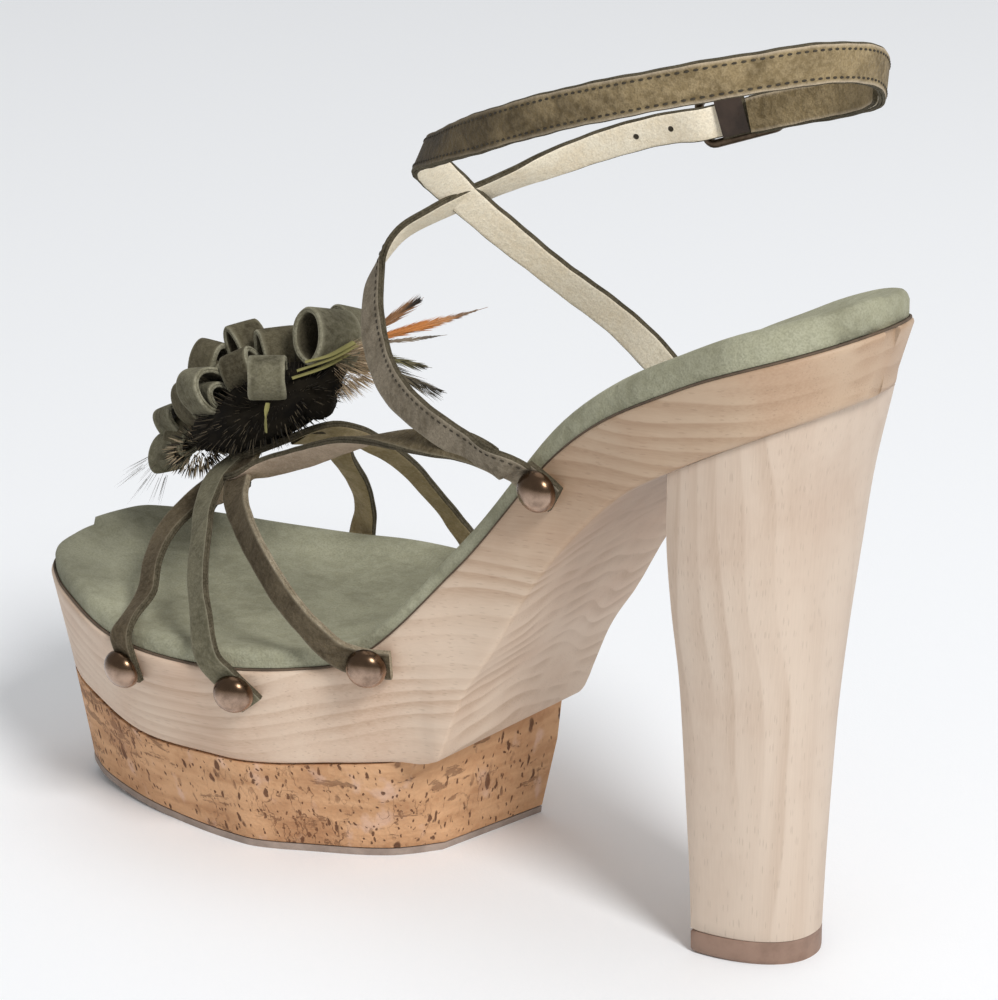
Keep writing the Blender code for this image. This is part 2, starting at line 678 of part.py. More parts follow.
# Studs
def lathe(name, centre, axis, profile, around, material=None, collection=None):
    axis = unit(axis)
    side = unit(np.cross(axis, (0.0, 0.3, 1.0)))
    other = np.cross(axis, side)
    rings = []
    for radius, rise in profile:
        ring = []
        for k in range(around):
            angle = 2 * math.pi * k / around
            ring.append(centre + axis * rise + (side * math.cos(angle) + other * math.sin(angle)) * radius)
        rings.append(ring)
    return loft(name, rings, material, collection)


anchors = []
for table in strap_tables.values():
    for end in ("from_wall", "to_wall"):
        if end in table:
            anchors.append(table[end])
anchors.sort(key=lambda anchor: (anchor[0] == "lateral", anchor[1]))
dome = [(0.86 * stud_radius, 0.0)]
for k in range(3):
    angle = math.pi / 2 * k / 3
    dome.append((stud_radius * math.cos(angle), 0.0007 + (stud_rise - 0.0007) * math.sin(angle)))
dome.append((0.12 * stud_radius, stud_rise))
for number, (side, share, drop, lean, gap) in enumerate(anchors, 1):
    at, facing = wall_point(side, share, drop)
    middle = at + facing * (gap + strap_thickness / 2)
    point, way = min(strap_frames, key=lambda frame: np.linalg.norm(frame[0] - middle))
    lathe(f"stud_{number}", point + way * (strap_thickness / 2 + stud_gap), way, dome, 11, stud_brass)


# Buckle
def box_rings(centre, run, side, way, size):
    rings = []
    for along in (-0.5, 0.5):
        ring = []
        for across, out in ((-0.5, -0.5), (0.5, -0.5), (0.5, 0.5), (-0.5, 0.5)):
            ring.append(centre + run * along * size[0] + side * across * size[1] + way * out * size[2])
        rings.append(ring)
    return rings


buckle_at = place(*buckle_centre)
buckle_run = unit(buckle_run)
buckle_way = unit(np.array((0.02, 1.0, 0.0)) - buckle_run * np.dot((0.02, 1.0, 0.0), buckle_run))
buckle_side = np.cross(buckle_run, buckle_way)
frame_object = loft(
    "buckle_frame",
    box_rings(buckle_at, buckle_run, buckle_side, buckle_way, (buckle_length, buckle_width, buckle_depth)),
    buckle_bronze,
)
frame_window = loft(
    "buckle_window",
    box_rings(
        buckle_at,
        buckle_run,
        buckle_side,
        buckle_way,
        (buckle_length - 2 * buckle_bar, buckle_width - 2 * buckle_bar, 3 * buckle_depth),
    ),
    collection=helpers,
)
boolean(frame_object, "DIFFERENCE", frame_window)
bevel = frame_object.modifiers.new("ease", "BEVEL")
bevel.width = 0.00035
bevel.segments = 1
bevel.limit_method = "ANGLE"

# Prong: rests on the front bar and passes through its hole behind the strap
prong_rows = []
for along, out in ((0.36, 0.0014), (0.345, 0.0042), (0.20, 0.0045), (-0.30, 0.0022), (-0.52, 0.0019)):
    at = buckle_at + buckle_run * along * buckle_length + buckle_way * out
    prong_rows.append((at, buckle_side))
sweep("buckle_prong", prong_rows, prong_section, prong_section, 0.0022, None, buckle_bronze)
prong_hole = loft(
    "prong_hole",
    box_rings(
        buckle_at + buckle_run * 0.35 * buckle_length + buckle_way * 0.003,
        buckle_run,
        buckle_side,
        buckle_way,
        (0.0032, 0.0024, 0.0100),
    ),
    collection=helpers,
)

# Leather chape round the rear bar, on the ankle side
chape_rows = []
for along, out in ((-0.18, -0.0020), (-0.02, -0.0018), (0.14, -0.0019)):
    at = buckle_at + buckle_run * along * buckle_length + buckle_way * out
    chape_rows.append((at, buckle_way))
sweep("buckle_chape", chape_rows, 0.0086, 0.0012, 0.003, None, chape_leather)


# Rosette: suede loops fused on a padded core
def ellipsoid(name, centre, axes, halves, around=12, levels=6, collection=None, material=None):
    rings = []
    for k in range(levels + 1):
        angle = -math.pi / 2 + math.pi * (k + 0.12) / (levels + 0.24)
        ring = []
        for j in range(around):
            turn = 2 * math.pi * j / around
            ring.append(
                centre
                + axes[0] * halves[0] * math.sin(angle)
                + axes[1] * halves[1] * math.cos(angle) * math.cos(turn)
                + axes[2] * halves[2] * math.cos(angle) * math.sin(turn)
            )
        rings.append(ring)
    return loft(name, rings, material, collection)


core_at = place(*rosette_core_centre)
core_run = unit(rosette_core_run)
core_side = unit(np.cross((0.0, 0.0, 1.0), core_run))
core_way = np.cross(core_run, core_side)
core_object = ellipsoid(
    "rosette", core_at, (core_run, core_side, core_way), rosette_core_half, 14, 8, None, rosette_suede
)
bead_at = place(rosette_bead["along"], rosette_bead["across"], rosette_bead["up"])
ellipsoid(
    "rosette_bead",
    bead_at,
    (core_run, core_side, core_way),
    (1.3 * rosette_bead["radius"], rosette_bead["radius"], rosette_bead["radius"]),
    8,
    4,
    loop_pieces,
)
for number, row in enumerate(rosette_table):
    centre = place(*row["at"])
    axis = unit(row["axis"])
    nearest = core_at + core_run * np.clip(np.dot(centre - core_at, core_run), -rosette_reach, rosette_reach)
    toward = nearest - centre
    toward = toward - axis * np.dot(toward, axis)
    reach = max(row["reach"], row["rise"] / 2 + np.linalg.norm(toward) - 0.4 * rosette_core_half[2])
    toward = unit(toward)
    up = np.cross(axis, toward)
    middle = centre + toward * (reach - row["rise"]) / 2
    rings = []
    for k in range(14):
        angle = 2 * math.pi * k / 14
        ring = []
        for shrink, half in ((0.0, -0.5), (0.0, 0.5), (loop_thickness, 0.5), (loop_thickness, -0.5)):
            ring.append(
                middle
                + toward * math.cos(angle) * (reach / 2 - shrink)
                + up * math.sin(angle) * (row["rise"] / 2 - shrink)
                + axis * half * row["width"]
            )
        rings.append(ring)
    loft(f"loop_{number}", rings, None, loop_pieces, closed=True)
boolean(core_object, "UNION", collection=loop_pieces)

# Feathers: blades fused on one bound root
root_at = place(*feather_root)
feather_run = unit(place(*feather_table[0]["tip"]) - root_at)
feather_side = unit(np.cross(feather_run, (0.0, 0.0, 1.0)))
feather_object = ellipsoid(
    "feathers",
    root_at,
    (feather_run, feather_side, np.cross(feather_run, feather_side)),
    (0.0032, 0.0017, 0.0017),
    8,
    4,
    None,
    feather_tan,
)
for number, row in enumerate(feather_table):
    tip = place(*row["tip"])
    run = unit(tip - root_at)
    flat = unit(np.cross(run, (0.9, 0.0, 0.45)))
    normal = np.cross(run, flat)
    start = root_at + feather_side * 0.0004 * (number - 2) + feather_run * 0.0005 * (number % 3 - 1)
    rings = []
    for t, share in ((0.0, 0.35), (0.2, 0.75), (0.5, 1.0), (0.75, 0.72), (1.0, 0.12)):
        at = start + (tip - start) * t + normal * row["bow"] * 4 * t * (1 - t)
        half = row["width"] / 2 * share
        thick = feather_thickness / 2 * (1.0 if t < 0.9 else 0.5)
        rings.append([at - flat * half, at - normal * thick, at + flat * half, at + normal * thick])
    loft(f"blade_{number}", rings, None, blade_pieces)
boolean(feather_object, "UNION", collection=blade_pieces)
boolean(first_strap, "DIFFERENCE", prong_hole)
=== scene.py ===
# Platform sandal for the right foot: wooden base and heel, cork, suede straps, rosette and feathers.
# Metres, +Z up, toe towards -X, lateral side towards +Y, as in the frame.
import math
import random

import bmesh
import bpy
import numpy as np
from mathutils import Matrix, Vector


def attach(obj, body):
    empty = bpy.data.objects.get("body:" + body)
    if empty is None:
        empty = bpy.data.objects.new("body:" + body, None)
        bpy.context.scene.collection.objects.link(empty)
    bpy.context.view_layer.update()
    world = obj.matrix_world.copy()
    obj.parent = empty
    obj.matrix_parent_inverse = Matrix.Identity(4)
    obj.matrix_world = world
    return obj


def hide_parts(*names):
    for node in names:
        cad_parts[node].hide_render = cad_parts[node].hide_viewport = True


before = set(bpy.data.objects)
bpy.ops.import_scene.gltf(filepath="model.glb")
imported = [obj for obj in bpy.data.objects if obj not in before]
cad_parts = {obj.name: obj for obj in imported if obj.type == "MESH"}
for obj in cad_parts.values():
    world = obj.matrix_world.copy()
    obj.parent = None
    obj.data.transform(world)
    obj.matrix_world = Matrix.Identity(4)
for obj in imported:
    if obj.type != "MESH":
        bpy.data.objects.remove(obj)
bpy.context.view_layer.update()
random.seed(7)

# ---- camera: the photo's angle, slightly rolled
cameraSpec = {"place": (0.5018, -0.5691, 0.3189), "azimuth": 37.7115, "elevation": 18.2537, "roll": -0.4172,
              "lens": 131.0}


def makeCamera(spec):
    az, el, roll = (math.radians(spec[key]) for key in ("azimuth", "elevation", "roll"))
    back = Vector((math.sin(az) * math.cos(el), -math.cos(az) * math.cos(el), math.sin(el)))
    right = Vector((math.cos(az), math.sin(az), 0.0))
    up = back.cross(right)
    rolledRight = right * math.cos(roll) + up * math.sin(roll)
    rolledUp = up * math.cos(roll) - right * math.sin(roll)
    data = bpy.data.cameras.new("camera")
    data.lens = spec["lens"]
    data.sensor_width = 36.0  # the long side's
    data.clip_start, data.clip_end = 0.01, 20.0
    made = bpy.data.objects.new("camera", data)
    made.matrix_world = Matrix((rolledRight, rolledUp, back)).transposed().to_4x4()
    made.location = spec["place"]
    bpy.context.scene.collection.objects.link(made)
    bpy.context.scene.camera = made


makeCamera(cameraSpec)
print("camera made")


# ---- shader node groups shared by the materials
def addNode(tree, kind, inputs=None, **settings):
    node = tree.nodes.new(kind)
    for key, value in settings.items():
        setattr(node, key, value)
    for key, value in (inputs or {}).items():
        if isinstance(value, bpy.types.NodeSocket):
            tree.links.new(value, node.inputs[key])
        else:
            node.inputs[key].default_value = value
    return node


def mathNode(tree, operation, first, second=0.0):
    return addNode(tree, "ShaderNodeMath", {0: first, 1: second}, operation=operation).outputs[0]


def times(tree, first, second):
    return mathNode(tree, "MULTIPLY", first, second)


def vectorNode(tree, operation, first, second):
    key = "Scale" if operation == "SCALE" else 1
    return addNode(tree, "ShaderNodeVectorMath", {0: first, key: second}, operation=operation).outputs[0]


def splitNode(tree, vector):
    return addNode(tree, "ShaderNodeSeparateXYZ", {0: vector}).outputs


def rampNode(tree, value, low, high):
    inputs = {"Value": value, "From Min": low, "From Max": high}
    return addNode(tree, "ShaderNodeMapRange", inputs, interpolation_type="SMOOTHSTEP").outputs[0]


def spanNode(tree, value, low, high):
    return addNode(tree, "ShaderNodeMapRange", {"Value": value, "To Min": low, "To Max": high}).outputs[0]


def sizedVector(tree, vector, scale):
    # Three numbers stretch a pattern, one sizes it
    if isinstance(scale, tuple):
        return addNode(tree, "ShaderNodeMapping", {"Vector": vector, "Scale": scale}).outputs[0], 1.0
    return vector, scale


def noiseNode(tree, vector, scale, detail=2.0, **more):
    vector, scale = sizedVector(tree, vector, scale)
    return addNode(tree, "ShaderNodeTexNoise", {"Vector": vector, "Scale": scale, "Detail": detail, **more}).outputs


def cellNode(tree, vector, scale):
    vector, scale = sizedVector(tree, vector, scale)
    return addNode(tree, "ShaderNodeTexVoronoi", {"Vector": vector, "Scale": scale}, feature="F1").outputs


def mixColour(tree, share, first, second, blend="MIX"):
    node = addNode(tree, "ShaderNodeMix", data_type="RGBA", blend_type=blend)
    for key, value in ((0, share), (6, first), (7, second)):
        if isinstance(value, bpy.types.NodeSocket):
            tree.links.new(value, node.inputs[key])
        else:
            node.inputs[key].default_value = (*value, 1.0) if key else value
    return node.outputs[2]


def tint(tree, colour, other, mask, strength):
    return mixColour(tree, times(tree, mask, strength), colour, other)


def shade(colour, share):
    return tuple(share * c for c in colour)


def newGroup(name, inputs, outputs):
    group = bpy.data.node_groups.new(name, "ShaderNodeTree")
    for label, value in inputs.items():
        kind = "NodeSocketVector" if value is None else "NodeSocketFloat"
        made = group.interface.new_socket(name=label, in_out="INPUT", socket_type=kind)
        if value is not None:
            made.default_value = value
    for label in outputs:
        group.interface.new_socket(name=label, in_out="OUTPUT", socket_type="NodeSocketFloat")
    return group, group.nodes.new("NodeGroupInput").outputs


def endGroup(group, *values):
    end = group.nodes.new("NodeGroupOutput")
    for k, value in enumerate(values):
        group.links.new(value, end.inputs[k])
    return group


def makeWoodFigure():
    # Growth rings round the local X axis, fine fibres and short flecks along it
    inputs = {"Vector": None, "Spacing": 0.0035, "Wander": 0.0035}
    group, start = newGroup("woodFigure", inputs, ("Rings", "Fibre", "Fleck"))
    drift = noiseNode(group, start["Vector"], (9.0, 30.0, 30.0))["Color"]
    centred = vectorNode(group, "SUBTRACT", drift, (0.5, 0.5, 0.5))
    bent = vectorNode(group, "ADD", start["Vector"], vectorNode(group, "SCALE", centred, start["Wander"]))
    square = mathNode(group, "ADD", *(mathNode(group, "POWER", splitNode(group, bent)[k], 2.0) for k in (1, 2)))
    turns = mathNode(group, "DIVIDE", mathNode(group, "SQRT", square), start["Spacing"])
    wobble = noiseNode(group, bent, (14.0, 60.0, 60.0), 1.0)[0]
    phase = mathNode(group, "FRACT", mathNode(group, "ADD", turns, times(group, wobble, 1.3)))
    rings = times(group, rampNode(group, phase, 0.10, 0.86), rampNode(group, phase, 1.0, 0.88))
    strength = noiseNode(group, bent, (10.0, 90.0, 90.0), 1.0)[0]
    rings = times(group, rings, rampNode(group, strength, 0.30, 0.65))
    fibre = noiseNode(group, start["Vector"], (55.0, 2600.0, 2600.0), 3.0)[0]
    flecks = cellNode(group, start["Vector"], (330.0, 2300.0, 2300.0))
    picked = mathNode(group, "GREATER_THAN", splitNode(group, flecks["Color"])[0], 0.72)
    return endGroup(group, rings, fibre, times(group, rampNode(group, flecks["Distance"], 0.42, 0.18), picked))


def makeSuedeNap():
    # Brushed patches, fine nap and a mottle of handled spots
    inputs = {"Vector": None, "Patch": 70.0, "Nap": 2600.0}
    group, start = newGroup("suedeNap", inputs, ("Patches", "Mottle", "Nap"))
    patch = noiseNode(group, start["Vector"], start["Patch"], 3.0, Distortion=0.8)[0]
    mottle = noiseNode(group, start["Vector"], times(group, start["Patch"], 7.0), 3.0)[0]
    nap = noiseNode(group, start["Vector"], start["Nap"])[0]
    return endGroup(group, rampNode(group, patch, 0.33, 0.67), rampNode(group, mottle, 0.35, 0.65), nap)


def makeHandling():
    # Faint dust and rubbed spots for any hard surface
    group, start = newGroup("handling", {"Vector": None, "Size": 45.0}, ("Smudge", "Scratch"))
    smudge = noiseNode(group, start["Vector"], start["Size"], 4.0, Roughness=0.6)[0]
    scratch = noiseNode(group, start["Vector"], (900.0, 90.0, 600.0))[0]
    return endGroup(group, rampNode(group, smudge, 0.35, 0.72), rampNode(group, scratch, 0.62, 0.74))


woodFigure = makeWoodFigure()
suedeNap = makeSuedeNap()
handling = makeHandling()


def newMaterial(name, **sockets):
    material = bpy.data.materials.new(name)
    material.use_nodes = True
    tree = material.node_tree
    shader = tree.nodes["Principled BSDF"]
    for key, value in sockets.items():
        shader.inputs[key.replace("_", " ")].default_value = value
    return material, tree, shader, addNode(tree, "ShaderNodeTexCoord").outputs["Object"]


def useGroup(tree, group, **values):
    return addNode(tree, "ShaderNodeGroup", values, node_tree=group).outputs


def addBump(tree, shader, height, strength, distance):
    bump = addNode(tree, "ShaderNodeBump", {"Height": height, "Strength": strength, "Distance": distance})
    tree.links.new(bump.outputs[0], shader.inputs["Normal"])


def attributeOf(tree, name):
    return addNode(tree, "ShaderNodeAttribute", attribute_name=name).outputs["Fac"]


# centre and turn lay the trunk's axis; upper is multiplied onto the wood from 5 cm up, in full from 10 cm: painted
# shade at the seat
woodSpec = {
    "paleWood": {
        "light": (0.675, 0.535, 0.415), "dark": (0.45, 0.30, 0.20), "warm": (0.59, 0.42, 0.305),
        "upper": (0.74, 0.69, 0.62), "centre": (0.0, -0.006, 0.034), "turn": 4.0,
        "spacing": 0.0036, "wander": 0.016, "rings": 0.66,
    },
    "heelWood": {
        "light": (0.60, 0.49, 0.395), "dark": (0.45, 0.335, 0.25), "warm": (0.53, 0.41, 0.32),
        "upper": (0.97, 0.96, 0.95), "centre": (-0.149, 0.030, 0.0), "turn": 88.5,
        "spacing": 0.0046, "wander": 0.020, "rings": 0.62,
    },
}


def woodMaterial(name):
    spec = woodSpec[name]
    material, tree, shader, where = newMaterial(name, Roughness=0.52, Specular_IOR_Level=0.35)
    laying = {"Vector": where, "Location": spec["centre"], "Rotation": (0.0, math.radians(spec["turn"]), 0.0)}
    laid = addNode(tree, "ShaderNodeMapping", laying).outputs[0]
    figure = useGroup(tree, woodFigure, Vector=laid, Spacing=spec["spacing"], Wander=spec["wander"])
    hand = useGroup(tree, handling, Vector=where, Size=38.0)
    colour = mixColour(tree, hand["Smudge"], spec["light"], spec["warm"])
    colour = tint(tree, colour, spec["dark"], figure["Rings"], spec["rings"])
    colour = tint(tree, colour, shade(spec["light"], 1.12), rampNode(tree, figure["Fibre"], 0.30, 0.72), 0.24)
    colour = tint(tree, colour, shade(spec["dark"], 0.62), figure["Fleck"], 0.20)
    # painted shade: the wood is multiplied by upper towards the seat, from 5 cm up
    upper = mixColour(tree, 1.0, colour, spec["upper"], "MULTIPLY")
    colour = mixColour(tree, rampNode(tree, splitNode(tree, where)[2], 0.050, 0.100), colour, upper)
    tree.links.new(colour, shader.inputs["Base Color"])
    tree.links.new(spanNode(tree, figure["Fibre"], 0.42, 0.62), shader.inputs["Roughness"])
    height = mathNode(tree, "ADD", times(tree, figure["Fibre"], 0.6), times(tree, figure["Fleck"], -0.5))
    addBump(tree, shader, height, 0.25, 0.00025)
    return material


# each row of pores: (how fine along X, Y and Z, half a pore's width, how rare from, to)
poreTable = (
    ((620.0, 620.0, 170.0), 0.32, 0.59, 0.68),
    ((1100.0, 1100.0, 420.0), 0.32, 0.57, 0.70),
    ((300.0, 300.0, 120.0), 0.27, 0.66, 0.74),
)


def corkMarks(tree, where, crowd):
    # Dark pores, short upright dashes in crowds; thin upright cracks; bark left near the top in front
    bent = noiseNode(tree, where, 330.0, 3.0)["Color"]
    warped = vectorNode(tree, "ADD", where, vectorNode(tree, "SCALE", bent, 0.0020))
    marks = None
    for scale, most, low, high in poreTable:
        cells = cellNode(tree, warped, scale)
        keep = times(tree, splitNode(tree, cells["Color"])[0], 0.5)
        keep = rampNode(tree, mathNode(tree, "ADD", keep, times(tree, crowd, 0.6)), low, high)
        mark = times(tree, rampNode(tree, cells["Distance"], most, most * 0.6), keep)
        marks = mark if marks is None else mathNode(tree, "MAXIMUM", marks, mark)
    line = noiseNode(tree, warped, (260.0, 260.0, 60.0), 3.0)[0]
    crack = rampNode(tree, mathNode(tree, "ABSOLUTE", mathNode(tree, "SUBTRACT", line, 0.5)), 0.014, 0.003)
    crack = times(tree, crack, times(tree, rampNode(tree, crowd, 0.50, 0.64), 0.7))
    spot = splitNode(tree, where)
    front = times(tree, rampNode(tree, spot[0], 0.004, -0.030), rampNode(tree, spot[2], 0.010, 0.021))
    bark = noiseNode(tree, where, (110.0, 110.0, 300.0), 5.0, Roughness=0.65)[0]
    bark = rampNode(tree, mathNode(tree, "ADD", bark, times(tree, front, 0.10)), 0.61, 0.66)
    return mathNode(tree, "MAXIMUM", mathNode(tree, "MAXIMUM", marks, crack), times(tree, bark, 0.60))


def corkMaterial():
    material, tree, shader, where = newMaterial("corkSheet", Roughness=0.78, Specular_IOR_Level=0.25)
    tone = noiseNode(tree, where, (60.0, 60.0, 260.0), 4.0, Distortion=0.6)[0]
    colour = mixColour(tree, rampNode(tree, tone, 0.30, 0.70), (0.68, 0.40, 0.22), (0.49, 0.26, 0.13))
    grain = cellNode(tree, where, 900.0)
    colour = tint(tree, colour, (0.70, 0.43, 0.24), splitNode(tree, grain["Color"])[1], 0.32)
    crowd = noiseNode(tree, where, 52.0)[0]
    marks = corkMarks(tree, where, crowd)
    pale = noiseNode(tree, where, (150.0, 150.0, 90.0), 3.0)[0]
    colour = tint(tree, colour, (0.74, 0.52, 0.42), rampNode(tree, pale, 0.58, 0.70), 0.5)
    colour = tint(tree, colour, (0.095, 0.036, 0.018), marks, 0.88)
    colour = tint(tree, colour, (0.30, 0.13, 0.06), rampNode(tree, crowd, 0.52, 0.72), 0.35)
    tree.links.new(colour, shader.inputs["Base Color"])
    addBump(tree, shader, mathNode(tree, "SUBTRACT", times(tree, grain["Distance"], 0.35), marks), 0.65, 0.0006)
    return material


def suedeMaterial(name, light, dark, rubbed, patch=70.0, nap=2600.0, rough=0.95, sheen=0.35, bump=0.5, edge=None,
                  fade=None):
    material, tree, shader, where = newMaterial(name, Roughness=rough, Specular_IOR_Level=0.2, Sheen_Weight=sheen,
                                                Sheen_Roughness=0.45)
    shader.inputs["Sheen Tint"].default_value = (*rubbed, 1.0)
    out = useGroup(tree, suedeNap, Vector=where, Patch=patch, Nap=nap)
    colour = tint(tree, mixColour(tree, out["Patches"], dark, light), rubbed, out["Mottle"], 0.30)
    colour = tint(tree, colour, shade(dark, 0.6), rampNode(tree, out["Nap"], 0.35, 0.7), 0.35)
    if edge:  # the rim of a strip, rubbed lighter
        colour = tint(tree, colour, edge, rampNode(tree, attributeOf(tree, "rim"), 0.72, 1.0), 0.55)
    if fade:  # the colour is multiplied along X between two places; on the sock this is painted shadow of the rosette over the toe
        start, stop, tone = fade
        along = mathNode(tree, "ADD", splitNode(tree, where)[0], times(tree, out["Patches"], 0.006))
        colour = mixColour(tree, rampNode(tree, along, start, stop), colour,
                           mixColour(tree, 1.0, colour, tone, "MULTIPLY"))
    tree.links.new(colour, shader.inputs["Base Color"])
    addBump(tree, shader, mathNode(tree, "ADD", out["Nap"], times(tree, out["Mottle"], 0.8)), bump, 0.0003)
    return material


def plainMaterial(name, light, dark, rough, metallic=0.0, size=200.0, bump=0.2, **more):
    material, tree, shader, where = newMaterial(name, Roughness=rough, Metallic=metallic, **more)
    hand = useGroup(tree, handling, Vector=where, Size=size)
    tree.links.new(mixColour(tree, hand["Smudge"], light, dark), shader.inputs["Base Color"])
    tree.links.new(spanNode(tree, hand["Scratch"], rough, min(1.0, rough + 0.18)), shader.inputs["Roughness"])
    addBump(tree, shader, noiseNode(tree, where, size * 8, 3.0)[0], bump, 0.0002)
    return material


def brassMaterial(lower, upper):
    # Painted reflection: each dome is pale like the floor on its downward side and dark on its upward side
    material, tree, shader, where = newMaterial("antiqueBrass", Roughness=0.24, Metallic=1.0)
    hand = useGroup(tree, handling, Vector=where, Size=420.0)
    facing = splitNode(tree, addNode(tree, "ShaderNodeNewGeometry").outputs["Normal"])[2]
    colour = mixColour(tree, rampNode(tree, facing, -0.25, 0.25), lower, upper)
    colour = tint(tree, colour, shade(upper, 0.6), hand["Smudge"], 0.5)
    tree.links.new(colour, shader.inputs["Base Color"])
    return material


def tuftMaterial(name, low, high, tip, stripes=0.0):
    # Colour runs from low to high by tone, then to tip along the feather, crossed by dark stripes
    material, tree, shader, _ = newMaterial(name, Roughness=0.85)
    tone, along = attributeOf(tree, "tone"), attributeOf(tree, "along")
    colour = mixColour(tree, rampNode(tree, along, 0.55, 0.9), mixColour(tree, tone, low, high), tip)
    if stripes:
        wave = mathNode(tree, "SINE", times(tree, along, stripes))
        colour = mixColour(tree, rampNode(tree, wave, 0.0, 0.6), colour, shade(low, 0.25))
    tree.links.new(colour, shader.inputs["Base Color"])
    return material


baseWood, heelWood = woodMaterial("paleWood"), woodMaterial("heelWood")
cork = corkMaterial()
# brass: the pale lower and dark upper colours are painted reflection, chosen by which way each dome faces
brass = brassMaterial((0.46, 0.33, 0.25), (0.125, 0.078, 0.048))
# the sock darkens to 0.62 towards the toe tip: painted shadow of the rosette
sockSuede = suedeMaterial("sockSuede", (0.375, 0.368, 0.258), (0.265, 0.258, 0.176), (0.45, 0.445, 0.335), patch=55.0,
                          nap=2400.0, fade=(-0.012, -0.040, (0.62, 0.62, 0.62)))
strapSuede = suedeMaterial("strapSuede", (0.135, 0.105, 0.058), (0.068, 0.050, 0.025), (0.23, 0.185, 0.12),
                           patch=150.0, rough=0.8, sheen=0.25, edge=(0.30, 0.26, 0.18))
legSuede = suedeMaterial("legSuede", (0.235, 0.195, 0.140), (0.125, 0.100, 0.066), (0.34, 0.29, 0.215), patch=130.0,
                         rough=0.75, sheen=0.25, edge=(0.36, 0.31, 0.23))
brownSuede = suedeMaterial("brownSuede", (0.112, 0.086, 0.050), (0.058, 0.042, 0.022), (0.19, 0.15, 0.10), patch=150.0,
                           rough=0.85, sheen=0.25, edge=(0.28, 0.24, 0.17))
paleEdge = suedeMaterial("paleEdge", (0.33, 0.275, 0.19), (0.20, 0.16, 0.10), (0.44, 0.38, 0.29), patch=300.0,
                         rough=0.85, sheen=0.2)
greySuede = suedeMaterial("greySuede", (0.165, 0.150, 0.096), (0.100, 0.090, 0.055), (0.25, 0.23, 0.16), patch=150.0,
                          edge=(0.32, 0.29, 0.21))
ankleSuede = suedeMaterial("ankleSuede", (0.066, 0.044, 0.016), (0.030, 0.019, 0.006), (0.108, 0.076, 0.032),
                           patch=110.0, rough=0.6, sheen=0.10, edge=(0.16, 0.12, 0.065),
                           fade=(0.050, 0.125, (4.4, 4.9, 6.9)))
creamLining = suedeMaterial("creamLining", (0.98, 0.88, 0.70), (0.91, 0.79, 0.60), (0.99, 0.93, 0.79), patch=120.0,
                            rough=0.7, sheen=0.1, bump=0.25)
# tan lining of the lateral forefoot straps: the lining's colour with painted shade on it
tanLining = suedeMaterial("tanLining", (0.52, 0.41, 0.25), (0.36, 0.275, 0.15), (0.66, 0.55, 0.39), patch=160.0,
                          rough=0.7, sheen=0.1, bump=0.25)
beigeLining = suedeMaterial("beigeLining", (0.56, 0.43, 0.325), (0.42, 0.315, 0.23), (0.68, 0.56, 0.45), patch=160.0,
                            rough=0.75, sheen=0.1, bump=0.25)
strapEdge = suedeMaterial("strapEdge", (0.095, 0.078, 0.048), (0.05, 0.04, 0.022), (0.19, 0.165, 0.115), patch=300.0,
                          rough=0.85, sheen=0.2)
rosetteSuede = suedeMaterial("rosetteSuede", (0.165, 0.152, 0.098), (0.070, 0.062, 0.038), (0.26, 0.24, 0.17),
                             patch=120.0, edge=(0.30, 0.28, 0.20))
loopEdge = suedeMaterial("loopEdge", (0.30, 0.28, 0.20), (0.17, 0.155, 0.10), (0.38, 0.36, 0.27), patch=260.0)
rubber = plainMaterial("outsoleRubber", (0.36, 0.285, 0.24), (0.27, 0.21, 0.175), 0.75)
tipRubber = plainMaterial("tipRubber", (0.29, 0.185, 0.135), (0.22, 0.135, 0.096), 0.55)
bronze = plainMaterial("darkBronze", (0.13, 0.092, 0.062), (0.065, 0.045, 0.03), 0.34, 1.0, 420.0, 0.08)
darkLeather = plainMaterial("darkLeather", (0.060, 0.036, 0.024), (0.032, 0.019, 0.012), 0.62)
print("materials made")


# ---- drawing helpers
def unit(vector):
    vector = np.asarray(vector, float)
    return vector / np.linalg.norm(vector)


def smoothAt(knots, values, where, closed=False):
    # Cubic through the rows, with each slope taken from its two neighbours
    knots, values = np.asarray(knots, float), np.asarray(values, float)
    wide = (slice(None),) + (None,) * (values.ndim - 1)
    gaps = np.diff(knots)
    slopes = np.diff(values, axis=0) / gaps[wide]
    tangents = np.empty_like(values)
    tangents[1:-1] = (slopes[:-1] * gaps[1:][wide] + slopes[1:] * gaps[:-1][wide]) / (gaps[:-1] + gaps[1:])[wide]
    tangents[0], tangents[-1] = slopes[0], slopes[-1]
    if closed:
        tangents[0] = tangents[-1] = (slopes[-1] * gaps[0] + slopes[0] * gaps[-1]) / (gaps[0] + gaps[-1])
    where = np.atleast_1d(np.clip(where, knots[0], knots[-1]))
    i = np.clip(np.searchsorted(knots, where, side="right") - 1, 0, len(knots) - 2)
    t, gap = ((where - knots[i]) / gaps[i])[wide], gaps[i][wide]
    return ((2 * t**3 - 3 * t**2 + 1) * values[i] + (t**3 - 2 * t**2 + t) * gap * tangents[i]
            + (3 * t**2 - 2 * t**3) * values[i + 1] + (t**3 - t**2) * gap * tangents[i + 1])


def rowAt(table, column, share, along="along"):
    return float(smoothAt(table[along], table[column], share)[0])


